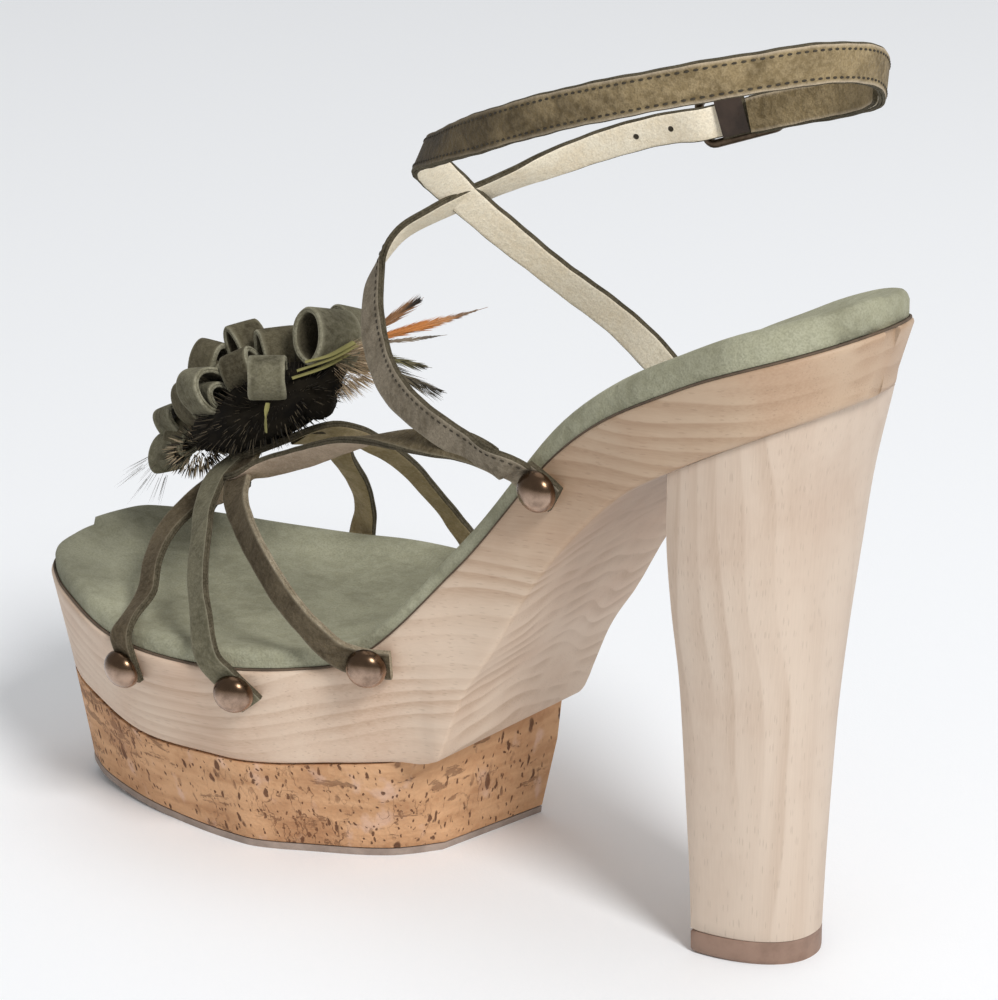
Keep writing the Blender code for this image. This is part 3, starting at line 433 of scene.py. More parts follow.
def newPiece(name, points, faces, materials, faceSlots=None, values=None, sharp=38.0):
    # Mesh in place, faces outwards; values are numbers kept on its points
    mesh = bpy.data.meshes.new(name)
    mesh.from_pydata([tuple(p) for p in points], [], [tuple(f) for f in faces])
    for key, numbers in (values or {}).items():
        mesh.attributes.new(key, "FLOAT", "POINT").data.foreach_set("value", np.asarray(numbers, np.float32))
    for material in materials if isinstance(materials, (list, tuple)) else [materials]:
        mesh.materials.append(material)
    if faceSlots is not None:
        mesh.polygons.foreach_set("material_index", faceSlots)
    shape = bmesh.new()
    shape.from_mesh(mesh)
    bmesh.ops.remove_doubles(shape, verts=shape.verts, dist=1e-7)
    bmesh.ops.recalc_face_normals(shape, faces=shape.faces)
    shape.to_mesh(mesh)
    shape.free()
    made = bpy.data.objects.new(name, mesh)
    bpy.context.scene.collection.objects.link(made)
    return shadeSmooth(made, sharp)


def shadeSmooth(piece, sharp=38.0):
    piece.data.polygons.foreach_set("use_smooth", [True] * len(piece.data.polygons))
    piece.data.set_sharp_from_angle(angle=math.radians(sharp))
    return piece


def loftFaces(count, around, ends=True):
    faces = [(i * around + j, i * around + (j + 1) % around, (i + 1) * around + (j + 1) % around, (i + 1) * around + j)
             for i in range(count - 1) for j in range(around)]
    if ends:
        faces += [tuple(range(around))[::-1], tuple((count - 1) * around + j for j in range(around))]
    return faces


def loftPiece(name, rings, materials, **more):
    rings = np.asarray(rings, float)
    return newPiece(name, rings.reshape(-1, 3), loftFaces(len(rings), rings.shape[1]), materials, **more)


def closedLoft(name, rings, material, sharp):
    points = np.array(rings + rings[:1]).reshape(-1, 3)
    return newPiece(name, points, loftFaces(len(rings) + 1, len(rings[0]), ends=False), material, sharp=sharp)


def placed(piece, slot, *nodes):
    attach(piece, "root")
    if nodes:
        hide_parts(*nodes)
    return piece


def settled(piece):
    # Turn what the modifiers make into a plain mesh
    graph = bpy.context.evaluated_depsgraph_get()
    mesh = bpy.data.meshes.new_from_object(piece.evaluated_get(graph), preserve_all_data_layers=True, depsgraph=graph)
    piece.modifiers.clear()
    piece.data = mesh
    return piece


# ---- last: plan outline and heights, as shares of length, ball width and seat height
lastSpec = {"length": 0.2095, "ball": 0.0805, "seat": 0.1356, "toe": -0.0535, "toeTip": -0.051, "seatTip": 0.006}
planTable = {
    "along": (0.004, 0.0143, 0.044, 0.0855, 0.187, 0.319, 0.441, 0.573, 0.695, 0.817, 0.919, 0.968, 0.990),
    "medial": (-0.143, -0.236, -0.312, -0.380, -0.486, -0.492, -0.366, -0.283, -0.282, -0.324, -0.298, -0.211, -0.118),
    "lateral": (0.044, 0.133, 0.205, 0.265, 0.410, 0.523, 0.475, 0.422, 0.386, 0.366, 0.324, 0.224, 0.130),
}
topTable = {
    "along": (-0.02, 0.0855, 0.2075, 0.3, 0.35, 0.405, 0.4515, 0.5776, 0.7036, 0.8502, 1.0),
    "up": (0.379, 0.360, 0.337, 0.335, 0.337, 0.344, 0.360, 0.543, 0.765, 0.903, 0.99),
}
underTable = {
    "along": (-0.02, 0.0855, 0.2075, 0.29, 0.349, 0.423, 0.492, 0.531, 0.5469, 0.5588, 0.5743, 0.6177, 0.6533, 0.69,
              0.7308, 0.785, 0.8305, 0.982, 1.02),
    "up": (0.199, 0.184, 0.161, 0.163, 0.1665, 0.1785, 0.195, 0.205, 0.222, 0.265, 0.321, 0.423, 0.513, 0.589, 0.656,
           0.729, 0.771, 0.884, 0.908),
}
woodInset = {
    "along": (0.0, 0.05, 0.187, 0.293, 0.349, 0.395, 0.441, 0.46, 0.478, 0.501, 0.529, 0.548, 0.58, 0.677, 0.815,
              0.931, 1.0),
    "medial": (0.046, 0.058, 0.087, 0.093, 0.075, 0.06, 0.060, 0.058, 0.060, 0.062, 0.055, 0.040, 0.025, 0.019, 0.015,
               0.025, 0.045),
    "lateral": (0.046, 0.058, 0.078, 0.075, 0.075, 0.075, 0.075, 0.071, 0.067, 0.06, 0.05, 0.04, 0.025, 0.019, 0.015,
                0.025, 0.045),
}


def place(along, across, up):
    return np.array((lastSpec["toe"] + along * lastSpec["length"], across * lastSpec["ball"], up * lastSpec["seat"]))


def planSides():
    medial = list(zip(planTable["along"], planTable["medial"]))
    lateral = list(zip(planTable["along"], planTable["lateral"]))
    loop = [(0.0, lastSpec["toeTip"])] + medial + [(1.0, lastSpec["seatTip"])] + lateral[::-1]
    loop = np.array(loop + loop[:1]) * (lastSpec["length"], lastSpec["ball"])
    knots = np.concatenate(([0.0], np.cumsum(np.sqrt(np.linalg.norm(np.diff(loop, axis=0), axis=1)))))
    middle = len(medial) + 1
    sides = {}
    for side, first, last in (("medial", 0, middle), ("lateral", middle, len(loop) - 1)):
        points = smoothAt(knots, loop, np.linspace(knots[first], knots[last], 900), closed=True)
        sides[side] = points if side == "medial" else points[::-1]
    return sides


plan = planSides()
planLoop = np.concatenate((plan["medial"], plan["lateral"][::-1]))


def edgeAt(side, share):
    points = plan[side]
    order = np.maximum.accumulate(points[:, 0])
    x = share * lastSpec["length"]
    i = int(np.clip(np.searchsorted(order, x), 4, len(points) - 5))
    run = unit(points[i + 4] - points[i - 4])
    inward = np.array((-run[1], run[0])) if side == "medial" else np.array((run[1], -run[0]))
    return np.array((x, float(np.interp(x, order, points[:, 1])))), inward


def topUp(x):
    return rowAt(topTable, "up", x / lastSpec["length"]) * lastSpec["seat"]


def underUp(x):
    return rowAt(underTable, "up", x / lastSpec["length"]) * lastSpec["seat"]


def wallPoint(side, share, drop):
    edge, inward = edgeAt(side, share)
    inset = rowAt(woodInset, side, share) * lastSpec["ball"]
    height = topUp(edge[0]) - underUp(edge[0])
    at = edge + inward * inset * drop / height
    facing = unit((-inward[0] * height, -inward[1] * height, -inset))
    return np.array((lastSpec["toe"] + at[0], at[1], topUp(edge[0]) - drop)), facing


def sharesBetween(first, last, count):
    return first + (last - first) * (0.5 - 0.5 * np.cos(np.linspace(0.0, math.pi, count)))


def raised(at, height):
    return np.array((at[0], at[1], height))


def acrossRows(first, last, height, count):
    rows = [first + (last - first) * k / (count + 1) for k in range(1, count + 1)]
    return [raised(at, height(at[0])) for at in rows]


def turnsOf(count):
    return [2 * math.pi * k / count for k in range(count)]


shift = np.array((lastSpec["toe"], 0.0, 0.0))

# ---- wooden base: walls eased into top and underside
baseSpec = {"rings": 120, "archRings": (0.52, 0.60, 22), "wallRows": 8, "across": 10, "upperRound": 0.0011,
            "lowerRound": 0.0013, "roundRows": 3}


def baseSide(side, share):
    edge, inward = edgeAt(side, share)
    inset = rowAt(woodInset, side, share) * lastSpec["ball"]
    r, q = baseSpec["upperRound"], baseSpec["lowerRound"]
    rows = []
    for k in range(baseSpec["roundRows"] + 1):
        a = math.pi / 2 * k / baseSpec["roundRows"]
        at = edge + inward * r * (1 - math.sin(a))
        rows.append(raised(at, topUp(at[0]) - r * (1 - math.cos(a))))
    low = edge + inward * inset
    foot = raised(low, underUp(edge[0]) + q)
    head = rows[-1]
    rows += [head + (foot - head) * k / (baseSpec["wallRows"] + 1) for k in range(1, baseSpec["wallRows"] + 1)]
    for k in range(baseSpec["roundRows"] + 1):
        a = math.pi / 2 * k / baseSpec["roundRows"]
        at = low + inward * q * (1 - math.cos(a))
        rows.append(raised(at, underUp(at[0]) + q * (1 - math.sin(a))))
    return rows


def makeBase():
    rings = []
    shares = np.concatenate((sharesBetween(0.0008, 0.9992, baseSpec["rings"]), np.linspace(*baseSpec["archRings"])))
    for share in np.unique(np.round(shares, 5)):
        medial, lateral = baseSide("medial", share), baseSide("lateral", share)
        ring = medial[::-1] + acrossRows(medial[0], lateral[0], topUp, baseSpec["across"]) + lateral
        ring += acrossRows(lateral[-1], medial[-1], underUp, baseSpec["across"])
        rings.append([p + shift for p in ring])
    return loftPiece("woodBase", rings, baseWood, sharp=50.0)


placed(makeBase(), "pale_wood", "wood_base")
print("wooden base made")

# ---- sock: thin in front, padded rim round the heel, its skin slightly uneven
sockSpec = {"inset": 0.0010, "lift": 0.0003, "rings": 110, "uneven": 0.00022, "tuck": 0.05}
sockTable = {
    "along": (-0.02, 0.38, 0.48, 0.58, 0.70, 0.82, 1.02),
    "medial": (0.0300, 0.0290, 0.0290, 0.0370, 0.0450, 0.0480, 0.0500),
    "lateral": (0.0450, 0.0405, 0.0370, 0.0400, 0.0420, 0.0400, 0.0460),
    "middle": (0.0200, 0.0200, 0.0200, 0.0200, 0.0210, 0.0220, 0.0240),
}
rimShape = {"away": (0.0, 0.05, 0.16, 0.45, 0.9, 1.9, 3.4), "rise": (0.55, 0.70, 0.87, 1.0, 0.93, 0.45, 0.0)}
# steps in from the edge: in rim heights, and the most in half widths
sockSteps = {
    "away": (0.0, 0.04, 0.10, 0.18, 0.30, 0.45, 0.65, 0.9, 1.25, 1.6, 2.0, 2.5, 3.1, 4.0),
    "most": (0.0, 0.02, 0.05, 0.09, 0.14, 0.20, 0.27, 0.34, 0.42, 0.50, 0.58, 0.66, 0.75, 0.86),
}


def sockRise(at, side, share):
    rim = rowAt(sockTable, side, share) * lastSpec["seat"]
    middle = rowAt(sockTable, "middle", share) * lastSpec["seat"]
    away = max(0.0, float(np.min(np.linalg.norm(planLoop - at, axis=1))) - sockSpec["inset"])
    shape = float(smoothAt(rimShape["away"], rimShape["rise"], away / rim)[0])
    rise = middle + (rim - middle) * shape if away > 0.45 * rim else rim * shape
    wave = math.sin(at[0] * 210 + 1.3 * math.sin(at[1] * 150)) * math.sin(at[1] * 190 + at[0] * 60)
    return rise + sockSpec["uneven"] * wave * min(1.0, away / 0.004)


def sockFloor(x):
    return topUp(x) + sockSpec["lift"]


def makeSock():
    rings = []
    for share in sharesBetween(0.006, 0.994, sockSpec["rings"]):
        rim = rowAt(sockTable, "medial", share) * lastSpec["seat"]
        edges = (edgeAt("medial", share), edgeAt("lateral", share))
        sides = [edge + inward * sockSpec["inset"] for edge, inward in edges]
        half = np.linalg.norm(sides[1] - sides[0]) / 2
        steps = [min(away * rim, most * half) / (2 * half) for away, most in zip(sockSteps["away"], sockSteps["most"])]
        top = []
        for step in steps + [0.47, 0.5, 0.53] + [1.0 - s for s in reversed(steps)]:
            at = sides[0] + (sides[1] - sides[0]) * step
            rise = sockRise(at, "medial" if step < 0.5 else "lateral", share)
            top.append(raised(at, sockFloor(at[0]) + rise))
        first, last = (raised(at, sockFloor(at[0])) for at in sides)
        tuck = sockSpec["tuck"] * (top[0][2] - first[2])
        first, last = first + (0, 0, tuck), last + (0, 0, tuck)
        rings.append([p + shift for p in [first] + top + [last] + acrossRows(last, first, sockFloor, 3)])
    return loftPiece("sock", rings, sockSuede, sharp=70.0)


sock = placed(makeSock(), "sock_suede", "insole")

# Dark brown line between sock and wood: the sock's edge, with the shade in the gap painted into it
boundEdge = plainMaterial("boundEdge", (0.12, 0.082, 0.052), (0.07, 0.047, 0.030), 0.8)
edgeSpec = {"radius": 0.00030, "inset": 0.0007, "lift": 0.0001, "around": 8}


def ringAround(centre, first, second, radius, around):
    return [centre + first * radius * math.cos(a) + second * radius * math.sin(a) for a in turnsOf(around)]


def makeSockEdge():
    rings, loop, up = [], planLoop[::6], np.array((0.0, 0.0, 1.0))
    for i, at in enumerate(loop):
        run = unit(loop[(i + 1) % len(loop)] - loop[i - 1])
        inward = np.array((-run[1], run[0]))
        spot = at + inward * edgeSpec["inset"]
        centre = raised(spot, topUp(spot[0]) + edgeSpec["lift"]) + shift
        rings.append(ringAround(centre, raised(inward, 0.0), up, edgeSpec["radius"], edgeSpec["around"]))
    return closedLoft("sockEdge", rings, boundEdge, 80.0)


placed(makeSockEdge(), "chape_leather")
print("sock made")

# ---- cork platform and outsole, cut straight across at the back
platformSpec = {
    "gap": 0.0003, "outsole": 0.0015, "spring": 0.0045, "levelFrom": 0.235, "rings": 90, "across": 5,
    "cutAlong": 0.4931, "cutAcross": 0.10, "slant": 9.0, "lean": 3.5 / 24.0, "edge": 0.0004,
}
corkTable = {
    "along": (0.0, 0.05, 0.187, 0.293, 0.349, 0.395, 0.441, 0.46, 0.478, 0.495, 0.515, 0.54),
    "medialUpper": (0.049, 0.061, 0.091, 0.097, 0.078, 0.064, 0.065, 0.065, 0.068, 0.080, 0.120, 0.180),
    "medialLower": (0.088, 0.110, 0.178, 0.172, 0.160, 0.160, 0.170, 0.184, 0.205, 0.240, 0.295, 0.345),
    "lateralUpper": (0.049, 0.061, 0.081, 0.078, 0.078, 0.078, 0.078, 0.076, 0.073, 0.07, 0.07, 0.07),
    "lateralLower": (0.088, 0.105, 0.14, 0.133, 0.13, 0.13, 0.13, 0.128, 0.125, 0.122, 0.12, 0.12),
}


def groundUp(x):
    start = platformSpec["levelFrom"] * lastSpec["length"]
    return platformSpec["spring"] * max(0.0, (start - x) / start) ** 2


def platformPiece(name, levels, upper, lower, material):
    rings = []
    for share in sharesBetween(0.0008, 0.526, platformSpec["rings"]):
        columns = []
        for side in ("medial", "lateral"):
            edge, inward = edgeAt(side, share)
            wide, narrow = (rowAt(corkTable, side + end, share) * lastSpec["ball"] for end in ("Upper", "Lower"))
            rows = []
            for level, height in levels:
                at = edge + inward * (wide + (narrow - wide) * level)
                rows.append(raised(at, lower(at[0]) + (upper(at[0]) - lower(at[0])) * height))
            columns.append(rows)
        medial, lateral = columns
        ring = medial[::-1] + acrossRows(medial[0], lateral[0], upper, platformSpec["across"]) + lateral
        ring += acrossRows(lateral[-1], medial[-1], lower, platformSpec["across"])
        rings.append([p + shift for p in ring])
    made = loftPiece(name, rings, material)
    slant = math.radians(platformSpec["slant"])
    base = place(platformSpec["cutAlong"], platformSpec["cutAcross"], 0.0)
    side = np.array((math.sin(slant), math.cos(slant), 0.0)) * 0.08
    rise = np.array((platformSpec["lean"], 0.0, 1.0)) * 0.06
    square = ((-1, -1), (1, -1), (1, 1), (-1, 1))
    corners = [[base + (along, 0, 0) + side * a + rise * u for a, u in square] for along in (0.0, 0.2)]
    knife = loftPiece("knife", corners, material)  # takes away all behind the slanted cut
    cut = made.modifiers.new("cut", "BOOLEAN")
    cut.operation, cut.solver, cut.object = "DIFFERENCE", "EXACT", knife
    soften = made.modifiers.new("soften", "BEVEL")
    soften.width, soften.segments = platformSpec["edge"], 2
    soften.limit_method, soften.angle_limit = "ANGLE", math.radians(55)
    settled(made)
    bpy.data.objects.remove(knife)
    return shadeSmooth(made, 35.0)


gap = platformSpec["gap"]
corkPiece = platformPiece("corkPlatform", [(k / 6, 1 - k / 6) for k in range(7)], lambda x: underUp(x) - gap,
                          lambda x: groundUp(x) + platformSpec["outsole"] + gap, cork)
placed(corkPiece, "cork", "cork_platform")
outsolePiece = platformPiece("outsoleSheet", ((1.0, 1.0), (1.0, 0.0)), lambda x: groundUp(x) + platformSpec["outsole"],
                             groundUp, rubber)
placed(outsolePiece, "outsole_rubber", "outsole")
print("platform made")

# ---- heel: D section
heelSpec = {"breast": 0.8280, "tip": 0.0049, "gap": 0.0001, "edge": 0.0010, "steps": 26, "rings": 46}
heelTable = {
    "up": (0.0, 0.12, 0.27, 0.42, 0.57, 0.72, 0.86, 1.0),
    "medial": (0.167, 0.178, 0.199, 0.220, 0.245, 0.284, 0.309, 0.311),
    "lateral": (0.167, 0.180, 0.204, 0.228, 0.258, 0.303, 0.335, 0.345),
    "depth": (0.1015, 0.1020, 0.1025, 0.1040, 0.1085, 0.1135, 0.1195, 0.1370),
    "squareness": (2.2, 2.2, 2.25, 2.3, 2.35, 2.4, 2.5, 2.6),
}


def heelRing(up, shrink=0.0):
    steps, edge = heelSpec["steps"], heelSpec["edge"]
    medial, lateral = (rowAt(heelTable, side, up, "up") * lastSpec["ball"] - shrink for side in ("medial", "lateral"))
    depth = rowAt(heelTable, "depth", up, "up") * lastSpec["length"] - shrink
    power = 2.0 / rowAt(heelTable, "squareness", up, "up")
    centre = 0.002 * up
    points = [(0.0, centre - medial + edge), (0.3 * edge, centre - medial + 0.3 * edge)]
    for k in range(1, 2 * steps):
        angle = -math.pi / 2 + math.pi * k / (2 * steps)
        away = math.copysign(abs(math.sin(angle)) ** power, angle) * (lateral if angle > 0 else medial)
        points.append((max(edge, math.cos(angle) ** power * depth), centre + away))
    points += [(0.3 * edge, centre + lateral - 0.3 * edge), (0.0, centre + lateral - edge)]
    front = place(heelSpec["breast"], 0.0, 0.0)[0] + shrink
    return [np.array((front + x, y)) for x, y in points]


def makeHeel():
    low = heelSpec["tip"] + heelSpec["gap"]
    rings = []
    for k, up in enumerate([0.0] + list(np.linspace(0.004, 1.0, heelSpec["rings"]))):
        ring = []
        for at in heelRing(up, 0.0004 if k == 0 else 0.0):
            top = underUp(at[0] - lastSpec["toe"]) - heelSpec["gap"]
            ring.append((at[0], at[1], low + up * (top - low)))
        rings.append(ring)
    return loftPiece("heelBlock", rings, heelWood, sharp=45.0)


placed(makeHeel(), "heel_wood", "heel")
# (height, how far in): both rims are eased
tipRows = ((0.0, 0.0008), (0.0004, 0.0002), (0.0010, 0.0), (heelSpec["tip"] - 0.0004, 0.0), (heelSpec["tip"], 0.0003))
tipRings = [[raised(at, z) for at in heelRing(0.0, shrink)] for z, shrink in tipRows]
placed(loftPiece("heelTip", tipRings, tipRubber, sharp=45.0), "tip_rubber", "heel_tip")
print("heel made")

# ---- straps
axisTable = {
    "along": (0.0373, 0.1923, 0.3162, 0.4298, 0.5435, 0.6674, 0.7087, 0.7087),
    "across": (0.0, 0.0, 0.02, 0.03, 0.03, 0.02, 0.0, 0.0),
    "up": (0.38, 0.42, 0.48, 0.60, 0.76, 0.95, 1.18, 1.60),
}
axisPoints = [place(*row) for row in zip(*(axisTable[key] for key in ("along", "across", "up")))]
strapGap = 0.0005
strapSpec = {"thickness": 0.0016, "step": 0.0012, "reach": 0.0040, "seam": 0.00022}
# a wall is (side, along, drop of the stud, lean along, gap); cloth is (outside, lining) and any edge of its own
strapTable = {
    "toeMedial": {
        "width": 0.0060, "cloth": (brownSuede, beigeLining), "fromWall": ("medial", 0.218, 0.0030, 0.0, strapGap),
        "along": (0.2070, 0.1900, 0.1780, 0.1790, 0.1964, 0.215),
        "across": (-0.388, -0.311, -0.211, -0.130, -0.062, -0.025),
        "up": (0.408, 0.444, 0.478, 0.503, 0.544, 0.578),
    },
    "ballMedial": {
        "width": 0.0062, "cloth": (greySuede, beigeLining), "fromWall": ("medial", 0.353, 0.0033, 0.012, strapGap),
        "along": (0.3111, 0.2883, 0.2584, 0.2274, 0.2119, 0.2171),
        "across": (-0.474, -0.416, -0.311, -0.199, -0.099, -0.031),
        "up": (0.421, 0.461, 0.507, 0.534, 0.561, 0.581),
    },
    "waistMedial": {
        "width": 0.0066, "cloth": (brownSuede, beigeLining, paleEdge),
        "fromWall": ("medial", 0.490, 0.0028, 0.014, 2.8 * strapGap),
        "along": (0.436, 0.404, 0.3648, 0.3121, 0.2604, 0.2336, 0.2222),
        "across": (-0.425, -0.422, -0.385, -0.298, -0.174, -0.075, -0.012),
        "up": (0.433, 0.470, 0.507, 0.537, 0.555, 0.572, 0.585),
    },
    "overLateral": {
        "width": 0.0062, "cloth": (strapSuede, tanLining), "toWall": ("lateral", 0.354, 0.0045, 0.0, strapGap),
        "along": (0.215, 0.2418, 0.2759, 0.3142, 0.3296, 0.3379, 0.3379, 0.3389, 0.3431),
        "across": (-0.025, -0.012, 0.0, 0.037, 0.099, 0.174, 0.298, 0.410, 0.491),
        "up": (0.581, 0.599, 0.623, 0.647, 0.632, 0.603, 0.551, 0.484, 0.427),
    },
    "toeLateral": {
        "width": 0.0062, "cloth": (strapSuede, tanLining), "toWall": ("lateral", 0.222, 0.0045, 0.0, strapGap),
        "along": (0.2842, 0.2873, 0.2666, 0.2501, 0.2336),
        "across": (0.019, 0.099, 0.261, 0.373, 0.447),
        "up": (0.626, 0.614, 0.541, 0.476, 0.413),
    },
    "crossVamp": {
        "width": 0.0062, "cloth": (strapSuede, beigeLining), "toWall": ("lateral", 0.060, 0.0045, 0.0, strapGap),
        "along": (0.6468, 0.6147, 0.5373, 0.4577, 0.3823, 0.3204, 0.2728, 0.2439, 0.1974, 0.1303, 0.0662),
        "across": (-0.329, -0.325, -0.298, -0.211, -0.124, -0.087, -0.094, -0.104, 0.010, 0.120, 0.244),
        "up": (0.742, 0.751, 0.738, 0.706, 0.660, 0.617, 0.587, 0.566, 0.522, 0.470, 0.408),
        "twist": (0.0, 26.0, 62.0, 78.0, 80.0, 78.0, 70.0, 52.0, 20.0, 0.0, 0.0),
    },
    "ankleMedial": {
        "width": 0.0068, "cloth": (legSuede, creamLining), "fromWall": ("medial", 0.6922, 0.0056, 0.017, strapGap),
        "along": (0.6612, 0.6147, 0.5652, 0.5104, 0.4556, 0.4194, 0.4018, 0.408, 0.4338, 0.4597, 0.5011, 0.5373,
                  0.5972, 0.6499, 0.686, 0.7201, 0.7521, 0.7903, 0.8286, 0.8616),
        "across": (-0.340, -0.335, -0.329, -0.286, -0.186, -0.087, 0.0, 0.062, 0.124, 0.199, 0.267, 0.311, 0.360,
                   0.385, 0.392, 0.432, 0.447, 0.446, 0.430, 0.404),
        "up": (0.738, 0.754, 0.778, 0.806, 0.845, 0.895, 0.941, 0.981, 1.013, 1.038, 1.071, 1.098, 1.137, 1.163, 1.175,
               1.191, 1.204, 1.224, 1.245, 1.262),
    },
    "ankleLateral": {
        "width": 0.0078, "cloth": (ankleSuede, creamLining), "fromWall": ("lateral", 0.688, 0.0056, 0.012, strapGap),
        "along": (0.6674, 0.654, 0.592, 0.5228, 0.4763, 0.4526, 0.4743, 0.5404, 0.623, 0.7346, 0.8337, 0.9112, 0.9484,
                  0.9494, 0.9153, 0.8523, 0.7903, 0.747),
        "across": (0.400, 0.366, 0.379, 0.360, 0.261, 0.124, -0.050, -0.199, -0.311, -0.379, -0.379, -0.273, -0.105,
                   0.110, 0.275, 0.366, 0.385, 0.389),
        "up": (0.760, 0.790, 0.847, 0.905, 0.983, 1.064, 1.128, 1.174, 1.224, 1.286, 1.331, 1.359, 1.364, 1.338, 1.287,
               1.250, 1.222, 1.202),
    },
}


def runAt(path, k):
    return unit(path[min(k + 1, len(path) - 1)] - path[max(k - 1, 0)])


def awayFromAxis(point):
    offsets = []
    for a, b in zip(axisPoints[:-1], axisPoints[1:]):
        t = np.clip(np.dot(point - a, b - a) / np.dot(b - a, b - a), 0.0, 1.0)
        offsets.append(point - (a + (b - a) * t))
    return unit(min(offsets, key=np.linalg.norm))


def wallRows(anchor):
    side, share, drop, lean, space = anchor
    rows = []
    for down in (drop + strapSpec["reach"], drop, 0.45 * drop, 0.0, -0.0022):
        at, facing = wallPoint(side, share + lean * (down - drop) / drop, down)
        rows.append((at + facing * (space + strapSpec["thickness"] / 2), facing))
    return rows


def strapFrames(rows, step):
    # Points, outward ways, sideways and runs at even steps along the smooth path
    path, ways = np.array([r[0] for r in rows]), np.array([r[1] for r in rows])
    knots = np.concatenate(([0.0], np.cumsum(np.linalg.norm(np.diff(path, axis=0), axis=1))))
    where = np.linspace(0.0, knots[-1], int(knots[-1] / step) + 1)
    near = 1e-4 * knots[-1]
    points, facing = smoothAt(knots, path, where), smoothAt(knots, ways, where)
    runs = smoothAt(knots, path, where + near) - smoothAt(knots, path, where - near)
    frames = []
    for point, way, run in zip(points, facing, runs):
        run = unit(run)
        way = unit(way - run * np.dot(way, run))
        frames.append((point, way, np.cross(run, way), run))
    return where, frames


def sweepStrap(name, where, frames, width, thickness, cloth, slip=0.0):
    # Two bonded layers with eased rims and a fine seam between them
    half, deep = width / 2, thickness / 2
    face = [(u * half, deep * (1.0 - 0.16 * abs(u) ** 6)) for u in (-0.93, -0.78, -0.4, 0.0, 0.4, 0.78, 0.93)]
    rim = [(half, 0.55 * deep), (half, 0.16 * deep), (half - strapSpec["seam"], 0.0), (half, -0.16 * deep),
           (half, -0.55 * deep)]
    rows = face + rim
    rows += [(-u, -v) for u, v in rows]
    slots = [0] * 6 + [2] * 6 + [1] * 6 + [2] * 6
    points, rims, along = [], [], []
    for at, (point, way, side, _) in zip(where, frames):
        wide = 1.0 + 0.018 * math.sin(at * 330 + len(name)) + 0.012 * math.sin(at * 870)  # cut by hand
        for u, v in rows:
            points.append(point + side * u * wide + way * (v + slip))
            rims.append(min(1.0, abs(u) / half))
            along.append(at)
    count = len(frames)
    cloth = (*cloth, strapEdge)[:3]
    return newPiece(name, points, loftFaces(count, len(rows)), cloth, slots * (count - 1) + [2, 2],
                    {"rim": rims, "along": along}, 60.0)


framesOf = {}
for number, (name, table) in enumerate(strapTable.items()):
    free = [place(*row) for row in zip(table["along"], table["across"], table["up"])]
    rows = [(p, awayFromAxis(p)) for p in free]
    for k, turn in enumerate(table.get("twist", ())):  # leans the strap about its own run
        run = Vector(runAt(free, k))
        rows[k] = (free[k], np.array(Matrix.Rotation(math.radians(turn), 3, run) @ Vector(rows[k][1])))
    if "fromWall" in table:
        rows = wallRows(table["fromWall"]) + rows
    if "toWall" in table:
        rows += wallRows(table["toWall"])[::-1]
    where, frames = strapFrames(rows, strapSpec["step"])
    framesOf[name] = (where, frames)
    strap = sweepStrap(name[0].upper() + name[1:], where, frames, table["width"], strapSpec["thickness"],
                       table["cloth"])
    strap.name = "strap" + strap.name
    placed(strap, "strap_suede", *["upper_straps"][number:])
print("straps made")


# ---- Geometry Nodes: one tree sets a piece along a path, one sets it on points
def nodeTree(name, inputs):
    tree = bpy.data.node_groups.new(name, "GeometryNodeTree")
    tree.interface.new_socket(name="Geometry", in_out="INPUT", socket_type="NodeSocketGeometry")
    for label, kind, value in inputs:
        made = tree.interface.new_socket(name=label, in_out="INPUT", socket_type="NodeSocket" + kind)
        if value is not None:
            made.default_value = value
    tree.interface.new_socket(name="Geometry", in_out="OUTPUT", socket_type="NodeSocketGeometry")
    return tree, tree.nodes.new("NodeGroupInput"), tree.nodes.new("NodeGroupOutput")


def vectorAttribute(tree, name):
    return addNode(tree, "GeometryNodeInputNamedAttribute", {"Name": name},
                   data_type="FLOAT_VECTOR").outputs["Attribute"]


def finishTree(tree, start, end, points, run):
    # Piece's X along the run and Z along the way, then real faces and one material
    axes = {"Primary Axis": run, "Secondary Axis": vectorAttribute(tree, "way")}
    turn = addNode(tree, "FunctionNodeAxesToRotation", axes, primary_axis="X", secondary_axis="Z")
    info = addNode(tree, "GeometryNodeObjectInfo", {"Object": start.outputs["Piece"]})
    setOn = addNode(tree, "GeometryNodeInstanceOnPoints", {
        "Points": points, "Instance": info.outputs["Geometry"], "Rotation": turn.outputs["Rotation"],
        "Scale": vectorAttribute(tree, "size"),
    })
    real = addNode(tree, "GeometryNodeRealizeInstances", {0: setOn.outputs["Instances"]})
    paint = addNode(tree, "GeometryNodeSetMaterial",
                    {"Geometry": real.outputs[0], "Material": start.outputs["Material"]})
    tree.links.new(paint.outputs[0], end.inputs[0])
    return tree


def makePathTree():
    inputs = (("Spacing", "Float", 0.002), ("Piece", "Object", None), ("Material", "Material", None))
    tree, start, end = nodeTree("piecesAlongPath", inputs)
    curve = addNode(tree, "GeometryNodeMeshToCurve", {0: start.outputs["Geometry"]})
    even = tree.nodes.new("GeometryNodeResampleCurve")
    even.mode = "LENGTH"
    tree.links.new(curve.outputs[0], even.inputs["Curve"])
    tree.links.new(start.outputs["Spacing"], even.inputs["Length"])
    tangent = tree.nodes.new("GeometryNodeInputTangent")
    return finishTree(tree, start, end, even.outputs[0], tangent.outputs[0])


def makePointTree():
    tree, start, end = nodeTree("piecesOnPoints", (("Piece", "Object", None), ("Material", "Material", None)))
    return finishTree(tree, start, end, start.outputs["Geometry"], vectorAttribute(tree, "run"))


pathTree, pointTree = makePathTree(), makePointTree()


